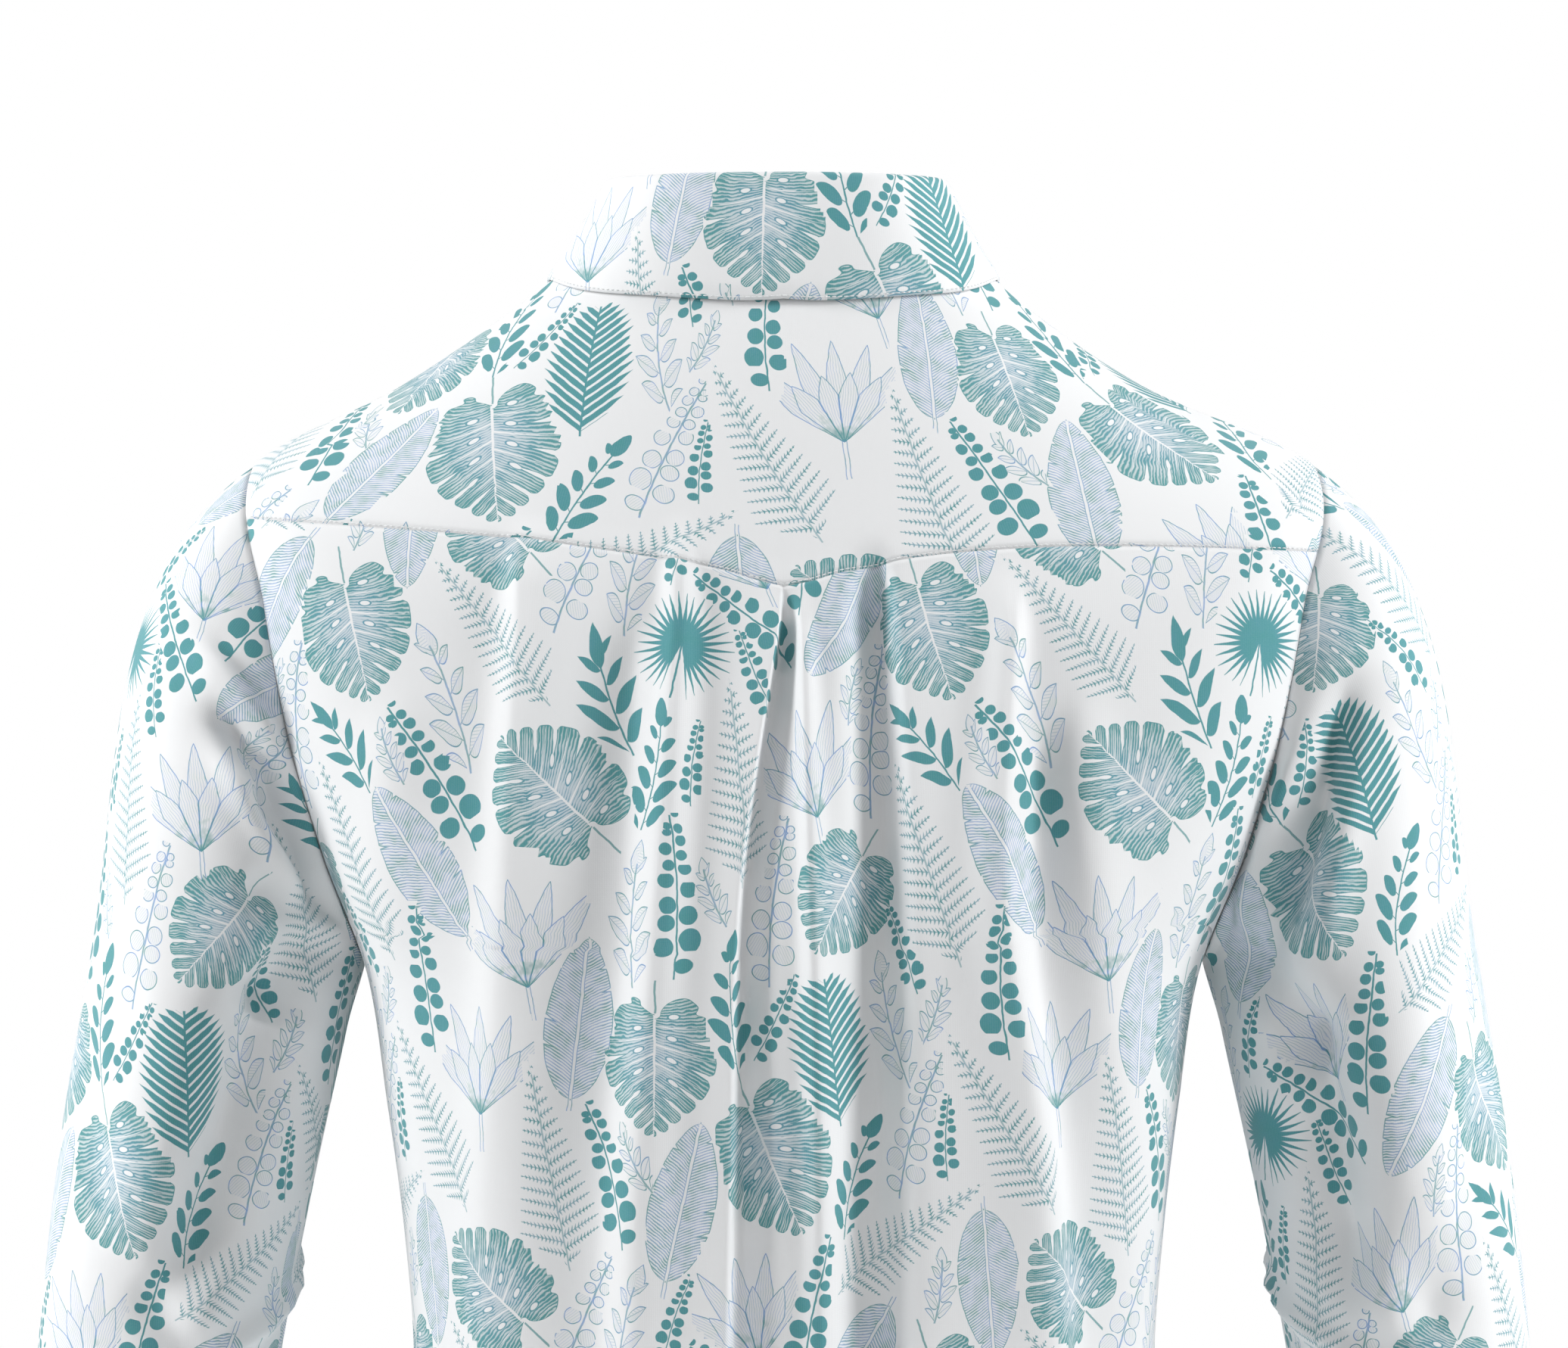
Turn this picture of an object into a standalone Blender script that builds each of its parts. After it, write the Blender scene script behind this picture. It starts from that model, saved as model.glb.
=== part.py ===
"""Long-sleeved golf shirt, filled out as it is worn, with no wearer inside.

Metres, +Z up. The front faces -Y and the wearer's left is +X. The origin is at the centre of the neck
opening, level with the collar's lower edge at the centre back, where the wearer's shoulders hold it up.

The body is a stack of egg-shaped sections. A place on it is an angle round the body (0 at the centre
back, 90 degrees at the wearer's left side, 180 at the centre front) and a section number, which counts
the rows of BODY_ROWS from the neckline (0) to the hem (13) and may be a fraction.
"""

import math

import bmesh
import bpy
import numpy as np

CLOTH = 0.0015            # wall of the knit
SEAM = 0.00025            # each panel stops this far short of a seam line
LYING = 0.0003            # clearance between two pieces that lie on each other

BODY_COLUMNS = ("x_side", "z_side", "y_back", "z_back", "y_front", "z_front", "shift", "square")
BODY_ROWS = (
    (0.0720, 0.0275, 0.0620, 0.0100, -0.0720, -0.0620, 0.0030, 2.00),    # neckline
    (0.1050, -0.0010, 0.0790, -0.0350, -0.0890, -0.0920, 0.0050, 2.10),
    (0.1530, -0.0335, 0.0910, -0.0800, -0.1000, -0.1220, 0.0050, 2.25),
    (0.2176, -0.0660, 0.1010, -0.1250, -0.1090, -0.1530, 0.0000, 2.40),  # shoulder points
    (0.2240, -0.1050, 0.1090, -0.1650, -0.1150, -0.1860, 0.0000, 2.50),
    (0.2150, -0.1550, 0.1140, -0.2050, -0.1190, -0.2200, 0.0000, 2.60),  # shoulder blades
    (0.1940, -0.2150, 0.1165, -0.2450, -0.1200, -0.2520, 0.0000, 2.60),
    (0.1710, -0.2680, 0.1165, -0.2850, -0.1200, -0.2880, 0.0000, 2.50),  # underarms
    (0.1615, -0.3250, 0.1130, -0.3350, -0.1160, -0.3360, 0.0000, 2.50),
    (0.1545, -0.3800, 0.1070, -0.3850, -0.1110, -0.3850, 0.0000, 2.45),
    (0.1510, -0.4350, 0.1020, -0.4350, -0.1080, -0.4350, 0.0000, 2.40),  # waist
    (0.1550, -0.5050, 0.1060, -0.5050, -0.1110, -0.5050, 0.0000, 2.40),
    (0.1660, -0.5900, 0.1170, -0.5900, -0.1180, -0.5900, 0.0000, 2.40),
    (0.1750, -0.6700, 0.1240, -0.6700, -0.1210, -0.6700, 0.0000, 2.40),  # hem
)
BODY = dict(zip(BODY_COLUMNS, np.array(BODY_ROWS).T))
HEM_SECTION = len(BODY_ROWS) - 1
SHOULDER_ROUND = 1.45     # how round the shoulder's ridge is: 1 is a sharp ridge, 2 a flat top

SHOULDER_SEAM = math.radians(96)    # angle of the yoke's front edge, a little in front of the shoulder
ARMHOLE_TOP = 3.0                   # section numbers
ARMHOLE_LOW = 7.0
ARMHOLE_BACK_CUT = math.radians(15.5)   # how far the armhole is scooped into the back and the front
ARMHOLE_FRONT_CUT = math.radians(23)

YOKE_SEAM_COLUMNS = ("out", "z_left", "z_right")     # out is the distance from the centre back
YOKE_SEAM_ROWS = (
    (0.000, -0.1160, -0.1160),    # the point of the shallow V
    (0.010, -0.1136, -0.1140),
    (0.022, -0.1099, -0.1104),
    (0.045, -0.1055, -0.1056),
    (0.096, -0.0981, -0.1005),
    (0.160, -0.0922, -0.0999),
    (0.216, -0.0880, -0.1015),    # armholes
)
YOKE_SEAM = dict(zip(YOKE_SEAM_COLUMNS, np.array(YOKE_SEAM_ROWS).T))

# Long folds that hang down the back (side 1) and the front (side -1). A height above 0 is a ridge and
# one below 0 a trough. Each fold's line is given by its x at four depths below the origin.
FOLD_LEVELS = (0.13, 0.24, 0.35, 0.62)
FOLD_COLUMNS = ("side", "z_start", "z_end", "height", "width", "x_at_levels")
FOLD_ROWS = (
    (1, -0.150, -0.560, 0.0030, 0.020, (0.153, 0.160, 0.162, 0.150)),
    (1, -0.085, -0.610, 0.0055, 0.014, (0.104, 0.110, 0.112, 0.108)),
    (1, -0.095, -0.520, -0.0060, 0.019, (0.071, 0.083, 0.090, 0.086)),
    (1, -0.085, -0.640, 0.0065, 0.014, (0.040, 0.044, 0.052, 0.060)),
    (1, -0.112, -0.600, 0.0030, 0.010, (0.006, 0.017, 0.023, 0.034)),      # lip of the centre pleat
    (1, -0.116, -0.560, -0.0065, 0.007, (-0.001, 0.005, 0.008, 0.018)),    # and the step behind it
    (1, -0.112, -0.590, 0.0055, 0.008, (-0.007, -0.009, -0.015, -0.012)),
    (1, -0.095, -0.600, -0.0100, 0.014, (-0.032, -0.036, -0.034, -0.036)),
    (1, -0.095, -0.640, 0.0065, 0.013, (-0.089, -0.084, -0.100, -0.112)),
    (1, -0.150, -0.520, -0.0045, 0.012, (-0.104, -0.101, -0.121, -0.130)),
    (1, -0.150, -0.540, 0.0030, 0.015, (-0.120, -0.121, -0.138, -0.146)),
    (-1, -0.230, -0.650, 0.0050, 0.018, (0.070, 0.074, 0.080, 0.088)),
    (-1, -0.260, -0.600, -0.0040, 0.018, (0.026, 0.030, 0.036, 0.042)),
    (-1, -0.240, -0.650, 0.0055, 0.018, (-0.056, -0.060, -0.066, -0.078)),
    (-1, -0.270, -0.600, -0.0035, 0.016, (-0.100, -0.104, -0.110, -0.116)),
)
FOLD_FADE_IN = 0.05       # height over which a fold rises from nothing at its top
FOLD_FADE_OUT = 0.12      # and dies away at its bottom
FOLD_FACING = 0.05        # folds are whole this far behind or in front of the shoulder line

SLEEVE_COLUMNS = ("x", "y", "z", "half_width", "half_depth", "tilt")
SLEEVE_ROWS = (
    (0.2325, -0.0020, -0.2850, 0.0545, 0.0640, 15.0),     # upper arm
    (0.2457, -0.0050, -0.3550, 0.0525, 0.0570, 10.0),
    (0.2590, -0.0130, -0.4450, 0.0490, 0.0510, 9.0),      # elbow
    (0.2680, -0.0270, -0.5400, 0.0455, 0.0465, 7.0),
    (0.2750, -0.0450, -0.6350, 0.0430, 0.0420, 6.0),      # wrist
)
SLEEVE = dict(zip(SLEEVE_COLUMNS, np.array(SLEEVE_ROWS).T))
SLEEVE_HEAD_LEAN = (0.82, 0.24)     # outward part of the sleeve's first direction, top and underarm
SLEEVE_HEAD_PUFF = 0.20             # and its backward part, half-way down
SLEEVE_HEAD_REACH = 0.36            # how far that direction holds, as a share of the sleeve head
SLEEVE_HEAD_ROWS = 8
SLEEVE_LOWER_ROWS = 9

# Folds round and along the sleeves: the angle is 0 on the outer side and 90 degrees at the back.
SLEEVE_FOLD_COLUMNS = ("angle_top", "along_top", "angle_low", "along_low", "height", "width")
SLEEVE_FOLD_ROWS = (
    (100, 0.25, 40, 1.6, 0.0040, 16),
    (135, 0.45, 75, 2.4, -0.0040, 16),
    (165, 0.80, 110, 3.0, 0.0035, 15),
    (265, 0.30, 320, 1.8, 0.0035, 18),
    (225, 0.60, 290, 2.6, -0.0035, 16),
)

FOLD_RING = (0.0680, 0.0515, 0.0580, 0.0520, -0.0680, -0.0280, 0.0030, 2.00)   # the collar's top fold
FOLD_ROLL = 0.0030                  # radius of that fold
FOLD_DROP = 0.0020                  # straight cloth inside the fold, down to the stand
COLLAR_END = math.radians(177)      # the collar stops this far round from the centre back
LEAF_POINT = math.radians(150)      # and the leaf's points lie this far round
LEAF_EDGE_COLUMNS = ("angle", "section", "lift")
LEAF_EDGE_ROWS = (
    (0, 0.24, 0.0035),
    (45, 0.36, 0.0030),
    (70, 0.54, 0.0027),
    (90, 0.64, 0.0026),
    (120, 0.82, 0.0035),
    (150, 1.00, 0.0055),
)
LEAF_EDGE = dict(zip(LEAF_EDGE_COLUMNS, np.array(LEAF_EDGE_ROWS).T))
UP = np.array([0.0, 0.0, 1.0])
LEAF_BOW = 0.002                    # how far the leaf bulges between its fold and its edge

PLACKET_WIDTH = 0.030
PLACKET_TOP = BODY["z_front"][0] - 0.0010
PLACKET_BOTTOM = -0.215
BUTTON_RADIUS = 0.0056
BUTTON_THICK = 0.0026
BUTTON_HEIGHTS = {"button_top": -0.078, "button_middle": -0.128, "button_low": -0.178}

# How finely the panels are divided. Panels that meet have their points at the same places.
OVER_STEPS = 4            # round the armhole over the shoulder, on the yoke
BACK_STEPS = 10           # down the back of the armhole
FRONT_STEPS = 10          # down the front of the armhole
SIDE_STEPS = 9            # down the side seam
YOKE_STEPS = 5            # down the yoke and along the shoulder seam
BACK_COLUMNS = 44
FRONT_COLUMNS = 24
COLLAR_COLUMNS = 36
UNDERARM_WIDENING = 0.6   # steps down an armhole grow towards the underarm: 1 is even, less is stronger
NARROW_STEP = 0.02        # a narrow step inside each seam, as a share or in radians
NARROW_COLUMN = 0.035     # and beside the armholes and side seams

MATERIALS = {    # colour, roughness
    "printed_knit": ((0.62, 0.72, 0.74, 1.0), 0.85),
    "plain_knit": ((0.78, 0.80, 0.82, 1.0), 0.85),
    "button": ((0.80, 0.82, 0.82, 1.0), 0.35),
}


def smooth_table(place, places, values):
    """Value of a table's column at any place along another: cubic pieces through every row."""
    places, values = np.asarray(places, float), np.asarray(values, float)
    slopes = np.gradient(values, places)
    row = np.clip(np.searchsorted(places, place) - 1, 0, len(places) - 2)
    gap = places[row + 1] - places[row]
    part = np.clip((place - places[row]) / gap, 0, 1)
    rest = 1 - part
    through = rest**2 * (1 + 2 * part) * values[row] + part**2 * (1 + 2 * rest) * values[row + 1]
    return through + part * rest * gap * (rest * slopes[row] - part * slopes[row + 1])


def between_rows(values, place):
    """Value at a fractional row number of a table."""
    return smooth_table(place, np.arange(len(values)), values)


def smooth_step(share):
    return share * share * (3 - 2 * share)


def unit(vectors):
    return vectors / np.linalg.norm(vectors, axis=-1, keepdims=True)


def ring(angle, size):
    """A level egg-shaped ring: a superellipse in plan, with a back and a front half of its own.

    Its height runs from the side's to the centre's as the ring comes away from the side. Both sides may
    be shifted towards the wearer's left, as the left shoulder is a little further out.
    """
    sine, cosine = np.sin(angle), np.cos(angle)
    y_far = np.where(cosine > 0, size["y_back"], -size["y_front"])
    z_far = np.where(cosine > 0, size["z_back"], size["z_front"])
    square = size["square"]
    spread = np.abs(sine / size["x_side"]) ** square + np.abs(cosine / y_far) ** square
    reach = spread ** (-1 / square)
    x, y = reach * sine, reach * cosine
    share = np.clip(np.abs(y) / y_far, 0, 1) ** SHOULDER_ROUND
    z = size["z_side"] + (z_far - size["z_side"]) * share
    return np.stack([x + size["shift"] * sine**2, y, z], axis=-1)


def body_form(angle, section):
    """The body before its folds."""
    angle, section = np.broadcast_arrays(angle, section)
    size = {name: between_rows(values, section) for name, values in BODY.items()}
    return ring(angle, size)


def outward(form, across, down):
    """Outward unit normals of a form of two parameters, from its slopes."""
    step = 0.002
    sideways = form(across + step, down) - form(across - step, down)
    downwards = form(across, down + step) - form(across, down - step)
    return unit(np.cross(sideways, downwards))


def hanging_folds(point):
    """Height of the hanging folds at points of the body before its folds."""
    x, y, z = np.moveaxis(point, -1, 0)
    total = np.zeros(x.shape)
    for side, z_start, z_end, height, width, x_at_levels in FOLD_ROWS:
        line = smooth_table(-z, FOLD_LEVELS, x_at_levels)
        rise = smooth_step(np.clip((z_start - z) / FOLD_FADE_IN, 0, 1))
        fall = smooth_step(np.clip((z - z_end) / FOLD_FADE_OUT, 0, 1))
        facing = np.clip(side * y / FOLD_FACING, 0, 1)
        total = total + height * rise * fall * facing * np.exp(-((x - line) / width) ** 2)
    return total


def body(angle, section, lift=0.0):
    """A point of the body's outer face with its hanging folds, moved out by lift."""
    angle, section = np.broadcast_arrays(angle, section)
    point = body_form(angle, section)
    height = hanging_folds(point) + lift
    return point + height[..., None] * outward(body_form, angle, section)


def yoke_seam_height(x):
    """Height of the yoke seam at a distance across the back."""
    left = smooth_table(np.abs(x), YOKE_SEAM["out"], YOKE_SEAM["z_left"])
    right = smooth_table(np.abs(x), YOKE_SEAM["out"], YOKE_SEAM["z_right"])
    return np.where(x > 0, left, right)


def yoke_seam_section(angle):
    """Section number at which the yoke seam crosses each angle round the back, by halving."""
    low, high = np.full(np.shape(angle), 1.0), np.full(np.shape(angle), 5.0)
    for _ in range(30):
        middle = (low + high) / 2
        point = body_form(angle, middle)
        above = point[..., 2] > yoke_seam_height(point[..., 0])
        low, high = np.where(above, middle, low), np.where(above, high, middle)
    return (low + high) / 2


def armhole(turn):
    """Angle and section of the armhole: turn is 0 at its top, a quarter at the back, half below."""
    share = (1 - np.cos(turn)) / 2
    section = ARMHOLE_TOP + (ARMHOLE_LOW - ARMHOLE_TOP) * share
    cut = np.where(np.sin(turn) > 0, ARMHOLE_BACK_CUT, ARMHOLE_FRONT_CUT)
    return math.pi / 2 - cut * np.sin(turn), section


def yoke_corner(side):
    """The armhole's turn at the place where the yoke seam meets it."""
    turns = np.linspace(0.05, 1.4, 3000)
    angles, sections = armhole(turns)
    return turns[np.argmax(sections > yoke_seam_section(side * angles))]


SHOULDER_CORNER = -math.asin((SHOULDER_SEAM - math.pi / 2) / ARMHOLE_FRONT_CUT)    # likewise, a turn
SIDE_SECTIONS = np.linspace(ARMHOLE_LOW, HEM_SECTION, SIDE_STEPS + 1)


def edged(shares, first=0.0, last=0.0):
    """Add a narrow step inside either end, so that a wall's rim stands square to the cloth."""
    return np.union1d(shares, [shares[0] + first, shares[-1] - last])


def over_turns(side):
    """The armhole's turns over the shoulder, from the shoulder seam back to the yoke seam."""
    return edged(np.linspace(SHOULDER_CORNER, yoke_corner(side), OVER_STEPS + 1), NARROW_STEP)


def turns_down(start, steps):
    """The armhole's turns from a place down to the underarm, in steps that widen towards it."""
    left = np.linspace(1, 0, steps + 1) ** UNDERARM_WIDENING
    return math.pi - (math.pi - start) * left


def back_turns(side):
    """The armhole's turns down the back, from the yoke seam to the underarm."""
    return edged(turns_down(yoke_corner(side), BACK_STEPS), NARROW_STEP)


def front_turns():
    """The armhole's turns up the front, from the underarm to the shoulder seam."""
    return 2 * math.pi - turns_down(-SHOULDER_CORNER, FRONT_STEPS)[::-1]


def across_shares():
    """Shares of the way across the back, from the right armhole (-1) to the left one (1)."""
    return edged(np.linspace(-1, 1, BACK_COLUMNS + 1), NARROW_COLUMN, NARROW_COLUMN)


def yoke_shares():
    """Shares of the way down the yoke, which are also those along the shoulder seam."""
    return edged(np.linspace(0, 1, YOKE_STEPS + 1), NARROW_STEP, NARROW_STEP)


def trim(points, edges):
    """Draw the named edges of a lattice of points in, by the seam clearance."""
    points = points.copy()
    lines = {"first_row": (np.s_[0], np.s_[1]), "last_row": (np.s_[-1], np.s_[-2]),
             "first_column": (np.s_[:, 0], np.s_[:, 1]), "last_column": (np.s_[:, -1], np.s_[:, -2])}
    for edge in edges:
        rim, next_in = lines[edge]
        points[rim] += SEAM * unit(points[next_in] - points[rim])
    return points


def back_points():
    """The back panel: rows run from the yoke seam down to the hem."""
    across = across_shares()
    edge_angle, edge_share = {}, {}
    for side in (-1, 1):
        angle, section = armhole(back_turns(side))
        angle = side * np.concatenate([angle, np.full(SIDE_STEPS, math.pi / 2)])
        section = np.concatenate([section, SIDE_SECTIONS[1:]])
        edge_angle[side] = angle[:, None]
        edge_share[side] = ((section - section[0]) / (HEM_SECTION - section[0]))[:, None]
    angle = np.where(across < 0, -across * edge_angle[-1], across * edge_angle[1])
    share = edge_share[-1] + (edge_share[1] - edge_share[-1]) * (across + 1) / 2
    top = yoke_seam_section(angle[0])
    points = body(angle, top + (HEM_SECTION - top) * share)
    return trim(points, ("first_row", "first_column", "last_column"))


def front_points():
    """The front panel: rows run from the neckline and shoulder seams down to the hem."""
    angle, section = armhole(front_turns()[::-1])
    section = np.concatenate([section[0] * yoke_shares()[:-1], section, SIDE_SECTIONS[1:]])
    angle = np.concatenate([np.full(len(yoke_shares()) - 1, SHOULDER_SEAM), angle,
                            np.full(SIDE_STEPS, math.pi / 2)])[:, None]
    across = edged(np.linspace(0, 1, FRONT_COLUMNS + 1), NARROW_COLUMN / 2, NARROW_COLUMN / 2)
    points = body(angle + (2 * math.pi - 2 * angle) * across, section[:, None])
    return trim(points, ("first_row", "first_column", "last_column"))


def yoke_points():
    """The yoke: columns run out from the neckline to the yoke seam, and over the shoulder to the armhole."""
    across = across_shares()
    halves = []
    for side in (-1, 1):
        over = over_turns(side)[::-1]
        corner = armhole(over[0])[0]
        inner = across[across >= 0] * corner
        angle = side * np.concatenate([inner, armhole(over)[0][1:]])
        outer = np.concatenate([yoke_seam_section(side * inner), armhole(over)[1][1:]])
        halves.append((angle, outer))
    (right_angle, right_outer), (left_angle, left_outer) = halves
    angle = np.concatenate([right_angle[:0:-1], left_angle])
    outer = np.concatenate([right_outer[:0:-1], left_outer])
    points = body(angle[None, :], outer * yoke_shares()[:, None])
    return trim(points, ("first_row", "last_row", "first_column", "last_column"))


def sleeve_form(turn, along, side):
    """The sleeve before its folds: along is 0 at the armhole, 1 at the upper arm, then a row each."""
    turn, along = np.broadcast_arrays(turn, along)
    rows = np.maximum(along - 1, 0)
    size = {name: between_rows(values, rows) for name, values in SLEEVE.items()}
    middle = np.stack([size["x"], size["y"], size["z"]], axis=-1)
    above, below = (np.stack([between_rows(SLEEVE[name], rows + step) for name in ("x", "y", "z")], axis=-1)
                    for step in (-0.05, 0.05))
    down = unit(below - above)
    tilt = np.radians(size["tilt"])
    out = np.stack([np.cos(tilt), np.zeros(tilt.shape), np.sin(tilt)], axis=-1)
    back = unit(np.cross(out, down))
    tube = (middle + (size["half_width"] * np.cos(turn))[..., None] * out
            + (size["half_depth"] * np.sin(turn))[..., None] * back)
    mirror = np.array([side, 1, 1])
    angle, section = armhole(turn)
    seam = body(side * angle, section, LYING * (1 - np.cos(turn)) / 2) * mirror
    top, low = SLEEVE_HEAD_LEAN
    lean = low + (top - low) * (1 + np.cos(turn)) / 2
    first = np.stack([lean, SLEEVE_HEAD_PUFF * np.sin(turn), -np.sqrt(1 - lean**2)], axis=-1)
    length = SLEEVE_HEAD_REACH * np.linalg.norm(tube - seam, axis=-1, keepdims=True)
    part = np.clip(along, 0, 1)[..., None]
    rest = 1 - part
    head = (rest**3 * seam + 3 * rest**2 * part * (seam + length * unit(first))
            + 3 * rest * part**2 * (tube - length * down) + part**3 * tube)
    return np.where(along[..., None] < 1, head, tube) * mirror


def slanting_folds(turn, along):
    """Height of the folds that slant round a sleeve."""
    total = np.zeros(turn.shape)
    for angle_top, along_top, angle_low, along_low, height, width in SLEEVE_FOLD_ROWS:
        fall = (along - along_top) / (along_low - along_top)
        away = np.degrees(turn) - (angle_top + (angle_low - angle_top) * fall)
        total = total + height * np.sin(math.pi * np.clip(fall, 0, 1)) * np.exp(-(away / width) ** 2)
    return total


def sleeve_points(side):
    """A sleeve as a lattice of rings from the armhole to the cuff, with its slanting folds."""
    turn = np.concatenate([over_turns(side), back_turns(side)[1:], front_turns()[1:-1]])
    head = edged(np.linspace(0, 1, SLEEVE_HEAD_ROWS + 1), NARROW_STEP)
    lower = np.linspace(1, len(SLEEVE_ROWS), SLEEVE_LOWER_ROWS + 1)
    turn, along = np.broadcast_arrays(turn, np.concatenate([head, lower[1:]])[:, None])

    def form(turns, alongs):
        return sleeve_form(turns, alongs, side)

    normal = -side * outward(form, turn, along)
    points = form(turn, along) + slanting_folds(turn % (2 * math.pi), along)[..., None] * normal
    points = trim(points, ("first_row",))
    return points if side < 0 else points[:, ::-1]


def collar_rings(angle):
    """The roll's centre line and the level direction out of the neck, at each angle."""
    size = dict(zip(BODY_COLUMNS, FOLD_RING))
    middle = ring(angle, size) - FOLD_ROLL * UP
    step = 0.01
    run = ring(angle + step, size) - ring(angle - step, size)
    run[..., 2] = 0
    out = unit(np.cross(run, -UP))
    return middle, out


def stand_points():
    """The collar stand: from the neck seam up to the inner side of the fold."""
    angle = np.linspace(-COLLAR_END, COLLAR_END, COLLAR_COLUMNS + 1)
    middle, out = collar_rings(angle)
    top = middle - (FOLD_ROLL - CLOTH) * out - FOLD_DROP * UP
    low = body(angle, 0.0) + LYING * UP
    return trim(np.array([top, (top + low) / 2, low]), ("first_row", "last_row"))


def leaf_points():
    """The collar leaf: over the fold, then down and out to an edge that lies on the shoulders."""
    angle = np.linspace(-COLLAR_END, COLLAR_END, COLLAR_COLUMNS + 1)
    middle, out = collar_rings(angle)
    edge_angle = angle * LEAF_POINT / COLLAR_END
    degrees = np.degrees(np.abs(edge_angle))
    section = smooth_table(degrees, LEAF_EDGE["angle"], LEAF_EDGE["section"])
    lift = smooth_table(degrees, LEAF_EDGE["angle"], LEAF_EDGE["lift"])
    edge = body(edge_angle, section, lift)
    lattice = [middle - FOLD_ROLL * out - FOLD_DROP * UP]
    for turn in np.radians((0, 45, 90, 130, 165)):
        lattice.append(middle - FOLD_ROLL * math.cos(turn) * out + FOLD_ROLL * math.sin(turn) * UP)
    start = lattice[-1]
    bow = (start + edge) / 2 + LEAF_BOW * (out + 0.4 * UP)
    for part in (0.25, 0.5, 0.75, 1):
        lattice.append((1 - part) ** 2 * start + 2 * part * (1 - part) * bow + part**2 * edge)
    return trim(np.array(lattice), ("first_row",))


def strip_points(width, bottom, lift):
    """A placket strip on the centre front, from the neckline down."""
    heights = np.linspace(PLACKET_TOP, bottom, 10)
    sections = np.interp(-heights, -BODY["z_front"], np.arange(len(BODY_ROWS)))
    depths = -between_rows(BODY["y_front"], sections)
    across = np.linspace(-0.5, 0.5, 3) * width
    angles = math.pi + np.arctan2(across, depths[:, None])
    return body(angles, sections[:, None], lift)


def material(name):
    """A plain material of the named kind."""
    made = bpy.data.materials.get(name) or bpy.data.materials.new(name)
    made.use_nodes = True
    colour, roughness = MATERIALS[name]
    shader = made.node_tree.nodes["Principled BSDF"]
    shader.inputs["Base Color"].default_value = colour
    shader.inputs["Roughness"].default_value = roughness
    return made


def add_object(name, mesh, collection, finish):
    """Put a mesh into the shirt's collection as a named piece."""
    piece = bpy.data.objects.new(name, mesh)
    piece.data.materials.append(material(finish))
    collection.objects.link(piece)
    return piece


def cloth(name, points, collection, finish="printed_knit", closed=False):
    """A cloth wall lofted through a lattice of points, whose rows run along each section."""
    rows, columns = points.shape[:2]
    bm = bmesh.new()
    grid = [[bm.verts.new(point) for point in row] for row in points]
    steps = columns if closed else columns - 1
    for upper, lower in zip(grid, grid[1:]):
        for k in range(steps):
            n = (k + 1) % columns
            bm.faces.new((upper[k], upper[n], lower[n], lower[k]))
    mesh = bpy.data.meshes.new(name)
    bm.to_mesh(mesh)
    bm.free()
    mesh.shade_smooth()
    piece = add_object(name, mesh, collection, finish)
    wall = piece.modifiers.new("wall", "SOLIDIFY")
    wall.thickness = CLOTH
    wall.offset = -1
    wall.use_even_offset = True
    return piece


def cut_placket_slot(front, cutters):
    """Open the front from the neckline down, where the placket strips lie."""
    bpy.ops.mesh.primitive_cube_add(size=1)
    cutter = bpy.context.object
    cutter.name = "placket_slot"
    top = 0.02
    cutter.scale = (PLACKET_WIDTH, 0.12, top - PLACKET_BOTTOM)
    cutter.location = (0, BODY["y_front"][2], (top + PLACKET_BOTTOM) / 2)
    cutter.hide_render = True
    cutter.display_type = "WIRE"
    for owner in list(cutter.users_collection):
        owner.objects.unlink(cutter)
    cutters.objects.link(cutter)
    slot = front.modifiers.new("placket slot", "BOOLEAN")
    slot.operation = "DIFFERENCE"
    slot.object = cutter


def add_button(name, height, collection):
    """A round button on the placket, facing straight out of the front."""
    section = np.interp(-height, -BODY["z_front"], np.arange(len(BODY_ROWS)))
    lift = CLOTH + 2 * LYING + BUTTON_THICK / 2
    angle, section = np.array([math.pi]), np.array([section])
    place = body(angle, section, lift)[0]
    facing = outward(body_form, angle, section)[0]
    bm = bmesh.new()
    bmesh.ops.create_cone(bm, cap_ends=True, segments=24, radius1=BUTTON_RADIUS,
                          radius2=BUTTON_RADIUS, depth=BUTTON_THICK)
    mesh = bpy.data.meshes.new(name)
    bm.to_mesh(mesh)
    bm.free()
    button = add_object(name, mesh, collection, "button")
    button.location = place
    button.rotation_euler = (math.atan2(-facing[1], facing[2]), 0, 0)
    bevel = button.modifiers.new("round rim", "BEVEL")
    bevel.width = 0.0006
    bevel.segments = 1
    bevel.limit_method = "ANGLE"


def main():
    for leftover in list(bpy.data.objects):
        bpy.data.objects.remove(leftover, do_unlink=True)
    shirt = bpy.data.collections.new("golf_shirt")
    cutters = bpy.data.collections.new("cutters")
    for collection in (shirt, cutters):
        bpy.context.scene.collection.children.link(collection)

    cloth("back", back_points(), shirt)
    front = cloth("front", front_points(), shirt)
    cut_placket_slot(front, cutters)
    cloth("back_yoke", yoke_points(), shirt)
    cloth("sleeve_left", sleeve_points(1), shirt, closed=True)
    cloth("sleeve_right", sleeve_points(-1), shirt, closed=True)
    cloth("collar_stand", stand_points(), shirt, "plain_knit")
    cloth("collar_leaf", leaf_points(), shirt)
    under = strip_points(PLACKET_WIDTH - 2 * LYING, PLACKET_BOTTOM + LYING, 0)
    cloth("placket_under", under, shirt, "plain_knit")
    over = strip_points(PLACKET_WIDTH + 0.001, PLACKET_BOTTOM - 0.003, CLOTH + LYING)
    cloth("placket_over", over, shirt)
    for name, height in BUTTON_HEIGHTS.items():
        add_button(name, height, shirt)


main()
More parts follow.
